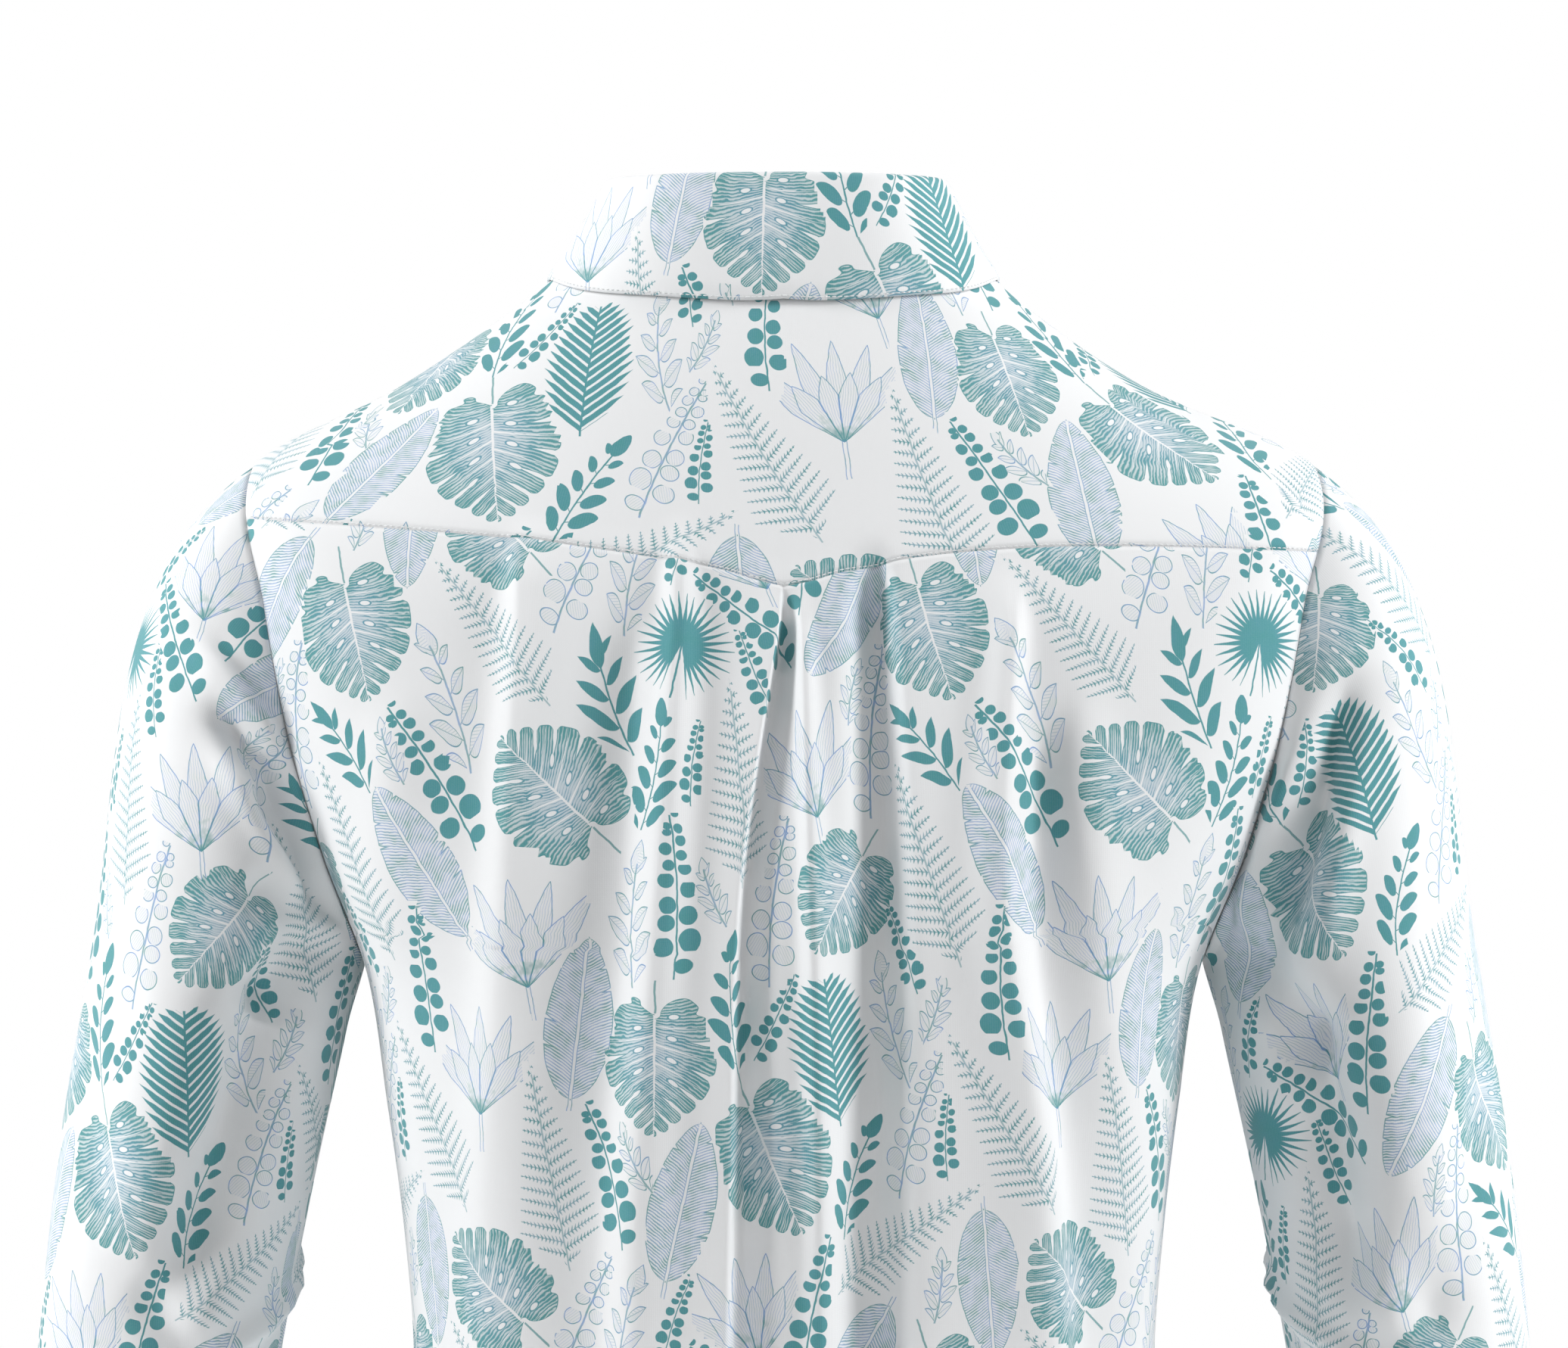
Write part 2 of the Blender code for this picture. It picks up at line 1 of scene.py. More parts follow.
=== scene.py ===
"""Long-sleeved golf shirt in leaf-printed knit, filled out as it is worn, with no wearer inside.

Metres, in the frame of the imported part: +Z up, the front faces -Y and the wearer's left is +X. The script
follows the shirt as it is sewn: back, yoke, front, sleeves, collar, placket, buttons, and then the studio.
"""

import math

import bmesh
import bpy
import numpy as np
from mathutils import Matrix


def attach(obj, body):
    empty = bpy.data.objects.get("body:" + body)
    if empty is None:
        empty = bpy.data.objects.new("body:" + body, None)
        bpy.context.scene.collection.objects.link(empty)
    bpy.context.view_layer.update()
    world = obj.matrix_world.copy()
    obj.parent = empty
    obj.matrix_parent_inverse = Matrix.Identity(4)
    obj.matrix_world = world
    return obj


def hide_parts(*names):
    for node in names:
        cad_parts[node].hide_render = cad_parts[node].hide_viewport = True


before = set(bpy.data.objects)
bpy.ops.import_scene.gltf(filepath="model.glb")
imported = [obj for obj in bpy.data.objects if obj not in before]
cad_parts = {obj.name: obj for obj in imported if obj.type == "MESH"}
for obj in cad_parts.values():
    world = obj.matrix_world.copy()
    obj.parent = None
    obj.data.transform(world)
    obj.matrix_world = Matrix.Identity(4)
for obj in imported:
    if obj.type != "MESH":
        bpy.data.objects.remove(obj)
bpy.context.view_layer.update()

# ---- The back ------------------------------------------------------------------------------------------
# One piece of knit from the yoke seam to the hem, cut a little wide at the top, so that a shallow pleat
# falls from the point of the yoke. It hangs from the shoulder blades in long soft folds. The body is a
# stack of egg-shaped sections, numbered from the neckline (0) to the hem (13), as in the part.

BODY_COLUMNS = ("x_side", "z_side", "y_back", "z_back", "y_front", "z_front", "shift", "square")
BODY_ROWS = (
    (0.0720, 0.0275, 0.0620, 0.0100, -0.0720, -0.0620, 0.0030, 2.00),    # neckline
    (0.1050, -0.0010, 0.0790, -0.0350, -0.0890, -0.0920, 0.0050, 2.10),
    (0.1530, -0.0335, 0.0910, -0.0800, -0.1000, -0.1220, 0.0050, 2.25),
    (0.2176, -0.0660, 0.1010, -0.1250, -0.1090, -0.1530, 0.0000, 2.40),  # shoulder points
    (0.2240, -0.1050, 0.1090, -0.1650, -0.1150, -0.1860, 0.0000, 2.50),
    (0.2150, -0.1550, 0.1140, -0.2050, -0.1190, -0.2200, 0.0000, 2.60),  # shoulder blades
    (0.1940, -0.2150, 0.1165, -0.2450, -0.1200, -0.2520, 0.0000, 2.60),
    (0.1710, -0.2680, 0.1165, -0.2850, -0.1200, -0.2880, 0.0000, 2.50),  # underarms
    (0.1615, -0.3250, 0.1130, -0.3350, -0.1160, -0.3360, 0.0000, 2.50),
    (0.1545, -0.3800, 0.1070, -0.3850, -0.1110, -0.3850, 0.0000, 2.45),
    (0.1510, -0.4350, 0.1020, -0.4350, -0.1080, -0.4350, 0.0000, 2.40),  # waist
    (0.1550, -0.5050, 0.1060, -0.5050, -0.1110, -0.5050, 0.0000, 2.40),
    (0.1660, -0.5900, 0.1170, -0.5900, -0.1180, -0.5900, 0.0000, 2.40),
    (0.1750, -0.6700, 0.1240, -0.6700, -0.1210, -0.6700, 0.0000, 2.40),  # hem
)
BODY = dict(zip(BODY_COLUMNS, np.array(BODY_ROWS).T))
HEM_SECTION = len(BODY_ROWS) - 1
SHOULDER_ROUND = 1.45     # how round the shoulder's ridge is: 1 is a sharp ridge, 2 a flat top
ARMHOLE_TOP = 3.0         # section numbers
ARMHOLE_LOW = 7.0
ARMHOLE_BACK_CUT = math.radians(15.5)    # how far the armhole is scooped into the back and the front
ARMHOLE_FRONT_CUT = math.radians(23)
YOKE_SEAM_COLUMNS = ("out", "z_left", "z_right")
YOKE_SEAM_ROWS = (
    (0.000, -0.1160, -0.1160),    # the point of the shallow V
    (0.010, -0.1136, -0.1140),
    (0.022, -0.1099, -0.1104),
    (0.045, -0.1055, -0.1056),
    (0.096, -0.0981, -0.1005),
    (0.160, -0.0922, -0.0999),
    (0.216, -0.0880, -0.1015),    # armholes
)
YOKE_SEAM = dict(zip(YOKE_SEAM_COLUMNS, np.array(YOKE_SEAM_ROWS).T))

# Hanging folds of the back (side 1) and the front (side -1): a height above 0 is a ridge and one below 0
# a trough. A fold may be steeper on its left (+X) than on its right. Its line is its x at four depths.
FOLD_LEVELS = (0.13, 0.24, 0.35, 0.62)
FOLD_ROWS = (    # side, z_start, z_end, height, width to the left, to the right, x at the levels
    (1, -0.150, -0.560, 0.0030, 0.020, 0.020, (0.153, 0.160, 0.162, 0.150)),
    (1, -0.085, -0.610, 0.0080, 0.011, 0.022, (0.104, 0.109, 0.114, 0.112)),
    (1, -0.120, -0.560, -0.0040, 0.022, 0.010, (0.060, 0.066, 0.074, 0.076)),
    (1, -0.085, -0.640, 0.0075, 0.009, 0.010, (0.0420, 0.0490, 0.0570, 0.060)),
    (1, -0.110, -0.600, 0.0030, 0.016, 0.0020, (0.0020, 0.0172, 0.0202, 0.0240)),
    (1, -0.112, -0.600, -0.0085, 0.0012, 0.0110, (0.0005, 0.0158, 0.0186, 0.0220)),    # the pleat's edge
    (1, -0.112, -0.590, 0.0062, 0.0050, 0.0070, (-0.0072, -0.0112, -0.0150, -0.012)),
    (1, -0.095, -0.600, -0.0150, 0.016, 0.0085, (-0.0375, -0.0400, -0.0380, -0.038)),
    (1, -0.105, -0.640, 0.0080, 0.013, 0.0080, (-0.0910, -0.0862, -0.1020, -0.112)),
    (1, -0.160, -0.560, -0.0060, 0.008, 0.014, (-0.104, -0.103, -0.116, -0.126)),
    (1, -0.150, -0.540, 0.0036, 0.012, 0.018, (-0.120, -0.125, -0.140, -0.146)),
    (-1, -0.200, -0.660, 0.0105, 0.020, 0.009, (0.060, 0.070, 0.082, 0.094)),
    (-1, -0.230, -0.620, -0.0095, 0.011, 0.018, (0.022, 0.030, 0.040, 0.050)),
    (-1, -0.250, -0.660, 0.0080, 0.009, 0.012, (0.000, 0.004, 0.008, 0.012)),
    (-1, -0.270, -0.620, -0.0080, 0.009, 0.014, (-0.020, -0.024, -0.030, -0.036)),
    (-1, -0.210, -0.660, 0.0110, 0.009, 0.018, (-0.052, -0.060, -0.070, -0.084)),
    (-1, -0.240, -0.600, -0.0095, 0.014, 0.011, (-0.090, -0.096, -0.104, -0.114)),
    (-1, -0.230, -0.600, 0.0055, 0.011, 0.011, (-0.118, -0.120, -0.126, -0.134)),
    (-1, -0.230, -0.600, -0.0080, 0.011, 0.012, (0.100, 0.104, 0.112, 0.120)),
)
FOLD_WIDENING = (0.55, 1.35)    # width at a fold's start and where it is widest, as shares of its own
FOLD_WIDEST_AT = 0.3      # below its start
FOLD_FADE_IN = 0.032      # height over which a fold rises from nothing at its top
FOLD_FADE_OUT = 0.12      # and dies away at its bottom
FOLD_FACING = 0.05        # folds are whole this far behind or in front of the shoulder line

KNIT_THICK = 0.0008
FLAT_LINES = 61           # most rows and columns of the coarse lattice that is pressed flat
FLAT_ROUNDS = 15          # rounds in which its stretch is evened out
BACK_ARMHOLE_STEPS = 60
BACK_SIDE_STEPS = 120
BACK_COLUMNS = 220
BACK_CROWDING = 0.62      # how much closer the columns stand at the centre back, where the pleat is
UNDERARM_WIDENING = 0.6   # below 1, so that the steps down the armhole widen towards the underarm


def smooth_table(place, places, values):
    """Value of a table's column at any place along another: cubic pieces through every row."""
    places, values = np.asarray(places, float), np.asarray(values, float)
    slopes = np.gradient(values, places)
    row = np.clip(np.searchsorted(places, place) - 1, 0, len(places) - 2)
    gap = places[row + 1] - places[row]
    part = np.clip((place - places[row]) / gap, 0, 1)
    rest = 1 - part
    through = rest**2 * (1 + 2 * part) * values[row] + part**2 * (1 + 2 * rest) * values[row + 1]
    return through + part * rest * gap * (rest * slopes[row] - part * slopes[row + 1])


def between_rows(values, place):
    """Value at a fractional row number of a table."""
    return smooth_table(place, np.arange(len(values)), values)


def smooth_step(share):
    """0 below 0, 1 above 1 and an S-shaped rise between."""
    share = np.clip(share, 0, 1)
    return share * share * (3 - 2 * share)


def unit(vectors):
    """The same directions, 1 long."""
    return vectors / np.linalg.norm(vectors, axis=-1, keepdims=True)


def ring(angle, size):
    """A level egg-shaped ring: a superellipse in plan, with a back and a front half of its own."""
    sine, cosine = np.sin(angle), np.cos(angle)
    y_far = np.where(cosine > 0, size["y_back"], -size["y_front"])
    z_far = np.where(cosine > 0, size["z_back"], size["z_front"])
    square = size["square"]
    spread = np.abs(sine / size["x_side"]) ** square + np.abs(cosine / y_far) ** square
    reach = spread ** (-1 / square)
    x, y = reach * sine, reach * cosine
    share = np.clip(np.abs(y) / y_far, 0, 1) ** SHOULDER_ROUND
    z = size["z_side"] + (z_far - size["z_side"]) * share
    return np.stack([x + size["shift"] * sine**2, y, z], axis=-1)


def body_form(angle, section):
    """The body before its folds, at an angle round it (0 at the centre back, 90 degrees at the left)."""
    angle, section = np.broadcast_arrays(angle, section)
    return ring(angle, {name: between_rows(values, section) for name, values in BODY.items()})


def outward(form, across, down):
    """Outward unit normals of a form of two parameters, from its slopes."""
    step = 0.002
    sideways = form(across + step, down) - form(across - step, down)
    downwards = form(across, down + step) - form(across, down - step)
    return unit(np.cross(sideways, downwards))


def hanging_folds(point):
    """Height of the hanging folds: each is a bell curve across its line, faded in and out along it."""
    x, y, z = np.moveaxis(point, -1, 0)
    total = np.zeros(x.shape)
    for side, z_start, z_end, height, left, right, x_at_levels in FOLD_ROWS:
        away = x - smooth_table(-z, FOLD_LEVELS, x_at_levels)
        widening = np.interp(z_start - z, (0, FOLD_WIDEST_AT), FOLD_WIDENING)
        along = smooth_step((z_start - z) / FOLD_FADE_IN) * smooth_step((z - z_end) / FOLD_FADE_OUT)
        facing = np.clip(side * y / FOLD_FACING, 0, 1)
        width = widening * np.where(away > 0, left, right)
        total = total + height * along * facing * np.exp(-((away / width) ** 2))
    return total


def body(angle, section, lift=0.0):
    """A point of the body's outer face with its folds, moved out by lift."""
    angle, section = np.broadcast_arrays(angle, section)
    point = body_form(angle, section)
    height = hanging_folds(point) + lift
    return point + height[..., None] * outward(body_form, angle, section)


def yoke_seam_height(x):
    """Height of the yoke seam at a distance across the back."""
    left = smooth_table(np.abs(x), YOKE_SEAM["out"], YOKE_SEAM["z_left"])
    right = smooth_table(np.abs(x), YOKE_SEAM["out"], YOKE_SEAM["z_right"])
    return np.where(x > 0, left, right)


def yoke_seam_section(angle):
    """Section number at which the yoke seam crosses each angle round the back, by halving."""
    low, high = np.full(np.shape(angle), 1.0), np.full(np.shape(angle), 5.0)
    for _ in range(30):
        middle = (low + high) / 2
        point = body_form(angle, middle)
        above = point[..., 2] > yoke_seam_height(point[..., 0])
        low, high = np.where(above, middle, low), np.where(above, high, middle)
    return (low + high) / 2


def armhole(turn):
    """Angle and section of the armhole: turn is 0 at its top, a quarter at the back, half below."""
    share = (1 - np.cos(turn)) / 2
    section = ARMHOLE_TOP + (ARMHOLE_LOW - ARMHOLE_TOP) * share
    cut = np.where(np.sin(turn) > 0, ARMHOLE_BACK_CUT, ARMHOLE_FRONT_CUT)
    return math.pi / 2 - cut * np.sin(turn), section


def yoke_corner(side):
    """The armhole's turn at the place where the yoke seam meets it."""
    turns = np.linspace(0.05, 1.4, 3000)
    angles, sections = armhole(turns)
    return turns[np.argmax(sections > yoke_seam_section(side * angles))]


def turns_down(start, steps):
    """The armhole's turns from a place down to the underarm, in steps that widen towards it."""
    left = np.linspace(1, 0, steps + 1) ** UNDERARM_WIDENING
    return math.pi - (math.pi - start) * left


def back_points():
    """The back as a lattice: rows run from the yoke seam to the hem, columns from armhole to armhole."""
    even = np.linspace(-1, 1, BACK_COLUMNS + 1)
    across = even * (1 - BACK_CROWDING * (1 - np.abs(even)) ** 2)
    side_sections = np.linspace(ARMHOLE_LOW, HEM_SECTION, BACK_SIDE_STEPS + 1)[1:]
    edge_angle, edge_share = {}, {}
    for side in (-1, 1):
        angle, section = armhole(turns_down(yoke_corner(side), BACK_ARMHOLE_STEPS))
        angle = side * np.concatenate([angle, np.full(BACK_SIDE_STEPS, math.pi / 2)])
        section = np.concatenate([section, side_sections])
        edge_angle[side] = angle[:, None]
        edge_share[side] = ((section - section[0]) / (HEM_SECTION - section[0]))[:, None]
    angle = np.where(across < 0, -across * edge_angle[-1], across * edge_angle[1])
    share = edge_share[-1] + (edge_share[1] - edge_share[-1]) * (across + 1) / 2
    top = yoke_seam_section(angle[0])
    return body(angle, top + (HEM_SECTION - top) * share)


def lattice_faces(rows, columns, closed=False):
    """Four corner numbers for each quad of a lattice, going round so that cloth faces outwards."""
    index = np.arange(rows * columns).reshape(rows, columns)
    if closed:
        index = np.concatenate([index, index[:, :1]], axis=1)
    return np.stack([index[:-1, :-1], index[:-1, 1:], index[1:, 1:], index[1:, :-1]], axis=-1).reshape(-1, 4)


def mesh_piece(name, points, faces, materials):
    """A smooth-shaded object from arrays of points and faces, with its materials."""
    mesh = bpy.data.meshes.new(name)
    mesh.from_pydata(points.reshape(-1, 3).tolist(), [], faces.tolist())
    mesh.shade_smooth()
    piece = bpy.data.objects.new(name, mesh)
    for finish in materials:
        mesh.materials.append(finish)
    bpy.context.scene.collection.objects.link(piece)
    return piece


def lattice_area(points):
    """Area of a lattice of flat or solid points, from the diagonals of its quads."""
    one, two = points[1:, 1:] - points[:-1, :-1], points[1:, :-1] - points[:-1, 1:]
    crossed = (one * one).sum(axis=-1) * (two * two).sum(axis=-1) - (one * two).sum(axis=-1) ** 2
    return np.sqrt(np.maximum(crossed, 0)).sum() / 2


def lay_flat(points):
    """Flat places, in metres, of a lattice of cloth points, as if the piece were unpicked and pressed flat.

    A coarse lattice is unwrapped with as little stretch as its form allows, brought to its true area and
    turned so that its middle column runs down. Finer points lie between the coarse ones in proportion.
    """
    rows, columns = (np.unique(np.linspace(0, count - 1, min(count, FLAT_LINES)).round().astype(int))
                     for count in points.shape[:2])
    coarse = points[np.ix_(rows, columns)]
    corners = lattice_faces(*coarse.shape[:2])
    piece = mesh_piece("pressed_flat", coarse, corners, [])
    mesh = piece.data
    bpy.ops.object.select_all(action="DESELECT")
    bpy.context.view_layer.objects.active = piece
    bpy.ops.object.mode_set(mode="EDIT")
    bpy.ops.mesh.select_all(action="SELECT")
    bpy.ops.uv.unwrap(method="MINIMUM_STRETCH", iterations=FLAT_ROUNDS, fill_holes=False, margin=0)
    bpy.ops.object.mode_set(mode="OBJECT")
    found = np.empty(2 * corners.size, np.float32)
    mesh.uv_layers.active.data.foreach_get("uv", found)
    flat = np.empty((coarse[..., 0].size, 2))
    flat[corners.ravel()] = found.reshape(-1, 2)
    flat = flat.reshape(*coarse.shape[:2], 2) * (-1, 1)
    bpy.data.objects.remove(piece)
    bpy.data.meshes.remove(mesh)
    flat *= math.sqrt(lattice_area(coarse) / lattice_area(flat))
    middle = len(columns) // 2
    down = flat[-1, middle] - flat[0, middle]
    turn = math.atan2(-down[0], -down[1])
    cosine, sine = math.cos(turn), math.sin(turn)
    flat = (flat - flat[0, middle]) @ np.array([[cosine, sine], [-sine, cosine]])
    for axis, kept in ((0, rows), (1, columns)):
        place = np.interp(np.arange(points.shape[axis]), kept, np.arange(len(kept)))
        low = np.minimum(place.astype(int), len(kept) - 2)
        part = (place - low).reshape((-1, 1, 1) if axis == 0 else (1, -1, 1))
        flat = np.take(flat, low, axis) * (1 - part) + np.take(flat, low + 1, axis) * part
    return flat


# The print. Thirteen kinds of leaf and flower are drawn in teal and pale blue lines, each by sums on its own
# coordinates (millimetres, x across and y along its stem), and laid out once in a repeat of the cloth.


class Field:
    """A value that varies over the cloth: a node's output, on which ordinary sums place Math nodes."""

    def __init__(self, socket):
        self.socket = socket

    def __add__(self, other):
        return work("ADD", self, other)

    def __sub__(self, other):
        return work("SUBTRACT", self, other)

    def __rsub__(self, other):
        return work("SUBTRACT", other, self)

    def __mul__(self, other):
        return work("MULTIPLY", self, other)

    def __truediv__(self, other):
        return work("DIVIDE", self, other)

    def __pow__(self, power):
        return work("POWER", self, power)

    def __neg__(self):
        return work("MULTIPLY", self, -1)

    __radd__, __rmul__ = __add__, __mul__


def feed(node, inputs):
    """Give a node's inputs plain values, or link them from fields and from other nodes' outputs."""
    for name, value in inputs.items():
        source = getattr(value, "socket", value)
        if isinstance(source, bpy.types.NodeSocket):
            node.id_data.links.new(source, node.inputs[name])
        else:
            node.inputs[name].default_value = source


def add_node(tree, kind, inputs=(), **settings):
    """A new shader node, its settings made and its inputs fed."""
    node = tree.nodes.new(f"ShaderNode{kind}")
    for name, value in settings.items():
        setattr(node, name, value)
    feed(node, dict(inputs))
    return node


def work(operation, *values, clamp=False):
    """One Math node on fields and plain numbers."""
    tree = next(value.socket.id_data for value in values if isinstance(value, Field))
    node = add_node(tree, "Math", enumerate(values), operation=operation, use_clamp=clamp)
    return Field(node.outputs[0])


def away(value):
    """The value's distance from 0."""
    return work("ABSOLUTE", value)


def part_of(value):
    """What the value has past a whole number."""
    return work("FRACT", value)


def least(*values):
    """The lowest of the values."""
    return values[0] if len(values) == 1 else work("MINIMUM", values[0], least(*values[1:]))


def most(*values):
    """The highest of the values."""
    return values[0] if len(values) == 1 else work("MAXIMUM", values[0], most(*values[1:]))


def held(value):
    """The value kept between 0 and 1."""
    return work("MULTIPLY", value, 1, clamp=True)


def far(x, y):
    """Distance from the origin."""
    return work("SQRT", x * x + y * y)


def bell(value, width):
    """1 at 0, falling to nothing a few widths away."""
    return work("POWER", 2.718, -((value / width) * (value / width)))


def within(distance, soft=0.25):
    """1 where a distance is below 0 and 0 where it is above, with a soft edge."""
    return work("MULTIPLY_ADD", distance, -1 / soft, 0.5, clamp=True)


def line(distance, width=0.4):
    """1 on a line where a distance is 0."""
    return within(away(distance) - width / 2)


def chance(number):
    """A fixed draw between 0 and 1 for each whole number."""
    return part_of(work("SINE", number * 12.9898) * 43.758)


def side_of(x):
    """1 on the right of the stem and 0 on its left."""
    return work("GREATER_THAN", x, 0)


def arch(share, bend=1.0):
    """An arch from 0 through 1 and back as share runs from 0 to 1, its top moved by bend."""
    return work("SINE", held(share) ** bend * math.pi)


def split_leaf(x, y, grain):
    """A heart-shaped leaf, split between its side veins from the edge inwards, with holes by its midrib."""
    up, out = y + 30, away(x)
    reach = far(x, up - 24)
    turn = work("ARCTAN2", out, up - 24)
    edge = (29 + 2 * work("COSINE", turn) + 1.5 * work("COSINE", 2 * turn)
            + 5 * bell(turn, 0.25) - 12 * bell(math.pi - turn, 0.33))
    share = reach / edge
    fan = 1 - 0.019 * out
    vein = (up * fan + 0.02 * out + 0.008 * out * out) / 8.2 + 0.5 * side_of(x)
    number = work("FLOOR", vein)
    across = (part_of(vein) - 0.5) * 7.2 / fan
    slot = away(across) - work("MINIMUM", (share - 0.42 - 0.16 * chance(number)) * 3.4, 1.15)
    slot = slot + 5 * within(2.1 - turn, 0.3)
    eye = far((out - 7.0 - 2 * chance(number + 2)) / 2.7, across / 1.15) - 1
    hole = eye * 1.2 + 3 * within(chance(number) - 0.25)
    leaf = most((share - 1) * edge + 2.8 * bell(across, 1.7), -slot, -hole)
    beside_vein = within(3.6 * fan ** -1 - away(across) - 0.42 * (1 - share), 0.3)
    pale = most(beside_vein, within(out - 0.75 + 0.009 * up, 0.3))
    stroke = away(part_of(vein * 7 + 0.8 * grain) - 0.5)
    strokes = within(stroke - 0.08 - 0.27 * share - 0.3 * (grain - 0.5), 0.25)
    inner = within(leaf) * (1 - pale) * (0.36 + 0.62 * strokes)
    stem = line(x - 0.02 * up, 0.9) * within(away(up + 2) - 9)
    return most(inner, line(leaf, 0.42), stem * 0.8), 0.55 + 0.5 * share


def banana_leaf(x, y, grain):
    """A long leaf torn along some of its side veins, hatched finely, with a pale midrib and a short stem."""
    up, out = y + 38, away(x)
    blade = work("POWER", arch((up - 8) / 70, 0.85), 0.6) * 14.5
    vein = (up - 0.75 * out + 0.012 * out * out) / 11.0 + 0.37 * side_of(x)
    depth = 0.35 + 0.85 * chance(work("FLOOR", vein) + 2 * side_of(x))
    tear = away(part_of(vein) - 0.5) * 8.6 - work("MINIMUM", (out / (blade + 0.1) - depth) * 2.6, 0.9)
    leaf = most(out - blade, -tear, away(up - 43) - 35.5)
    strokes = within(away(part_of(vein * 8 + 0.5 * grain) - 0.5) - 0.11 - 0.17 * grain, 0.3)
    rib = within(out - 0.6, 0.3)
    inner = within(leaf) * (1 - rib) * (0.07 + 0.80 * strokes)
    ribs = line(out - 0.8, 0.34) * within(away(up - 38) - 38) * within(leaf - 1.5 - 9 * within(up - 9))
    return most(inner, line(leaf, 0.40) * 0.95, ribs * 0.9), held(1.5 * grain - 0.35 + 0.35 * line(leaf, 1.2))


def fern(x, y, grain):
    """A fern frond: rows of slanting leaflets, each a comb of small teeth, tapering to the tip."""
    up, out = y + 45, away(x)
    root = up - 0.42 * out
    row = root / 5.4 + 0.5 * side_of(x)
    across = (part_of(row) - 0.5) * 5.0
    along = out * 1.08
    length = 21 * work("POWER", held(1.02 - root / 90), 0.85) * held(root / 9)
    tooth = 2.2 * work("POWER", held(1 - along / (length + 0.1)), 0.55)
    comb = away(part_of(along / 1.75 - 0.25 * away(across)) - 0.5) * 1.75
    comb = comb - 0.45 * (1.1 - away(across) / (tooth + 0.05))
    leaflet = most(comb, away(across) - tooth)
    rows = within(leaflet, 0.3) * within(along - length)
    spine = line(across, 0.34) * within(along - length)
    stem = line(x, 0.7) * within(away(up - 42) - 44)
    return most(rows * (0.72 + 0.28 * grain), spine * 0.85, stem * 0.6), 0.70 + 0.3 * grain


def discs_on_twig(x, y):
    """Distances to a twig's round leaves and to the twig itself: the leaves alternate and shrink upwards."""
    up = y + 35
    right = side_of(x)
    ahead = most(1 - up / 105, 0.05)
    number = work("FLOOR", work("LOGARITHM", ahead, 2.718) / -0.125 + 0.5 * right)
    height = 105 * (1 - work("POWER", 2.718, -0.125 * (number + 0.5 - 0.5 * right)))
    draw = chance(number + 3 * right)
    other = chance(number + 7 * right + 11)
    radius = (105 - height) * (0.033 + 0.026 * draw)
    out = away(x) - radius * (1.05 + 0.5 * other)
    disc = far(out * (0.75 + 0.3 * draw), up - height - 4 * (other - 0.5)) - radius
    disc = disc + 9 * within(height - 2) + 9 * within(70 - height)
    twig = most(away(x) - 0.45, away(up - 35) - 35)
    return disc, twig, radius


def solid_print(leaves, twig, grain):
    """Ink and hue of a motif printed solid, from the distances to its leaves and to its twig."""
    return within(least(leaves, twig + 0.05 * grain)), 1 - 0.1 * grain


def solid_round_leaves(x, y, grain):
    """A twig of round leaves, printed solid."""
    disc, twig, _ = discs_on_twig(x - 0.0022 * y * y, y)
    return solid_print(disc, twig, grain)


def drawn_round_leaves(x, y, grain):
    """A twig of round leaves, drawn in outline with a few spokes."""
    bent = x - 0.002 * y * y
    disc, twig, radius = discs_on_twig(bent, y)
    spokes = line(part_of((y + 1.7 * away(bent)) / 2.1) - 0.5, 0.14) * within(disc + 0.4)
    drawn = most(line(disc, 0.40), spokes * 0.5, within(disc) * 0.05, within(twig) * 0.8)
    return drawn, held(1.6 * grain - 0.3)


def leaves_on_stalk(x, y, pitch, slope, length, width, height, roundness, stalk):
    """Distance to the leaves of a stalk: they alternate, slant up on stalks of their own, and one tops it."""
    up, out = y + height / 2, away(x)
    root = up - slope * out
    row = root / pitch + 0.5 * side_of(x)
    lean = math.sqrt(1 + slope * slope)
    across = (part_of(row) - 0.5) * pitch / lean
    along = out * lean - stalk
    taper = held(1.25 - root / height)
    grown = away(root - height * 0.42) - height * 0.40
    reach = length * taper * (0.80 + 0.20 * chance(work("FLOOR", row)))
    leaf = away(across) - width * work("POWER", arch(along / reach, 0.8), roundness) * taper
    leaf = most(leaf, along - reach, 0.1 - along, grown)
    top = most(out - width * work("POWER", arch((up - height + length) / length, 0.8), roundness),
               away(up - height + length / 2) - length / 2)
    side_twig = most(away(across) - 0.22, away(along + 0.4) - stalk, grown)
    twig = least(most(out - 0.4, away(up - height * 0.42) - height * 0.42), side_twig)
    return leaf, top, twig, across, along


def solid_sprig(x, y, grain):
    """A sprig of oval leaves on a bent stalk, printed solid."""
    leaf, top, twig, _, _ = leaves_on_stalk(x - 0.004 * y * y, y, 10.5, 0.75, 12.5, 3.5, 60, 0.62, 2.0)
    return solid_print(least(leaf, top), twig, grain)


def pointed_sprig(x, y, grain):
    """A sprig of long pointed leaves, printed solid."""
    leaf, top, twig, _, _ = leaves_on_stalk(x + 0.003 * y * y, y, 12.0, 1.0, 19, 3.0, 56, 1.0, 0.6)
    return solid_print(least(leaf, top), twig, grain)


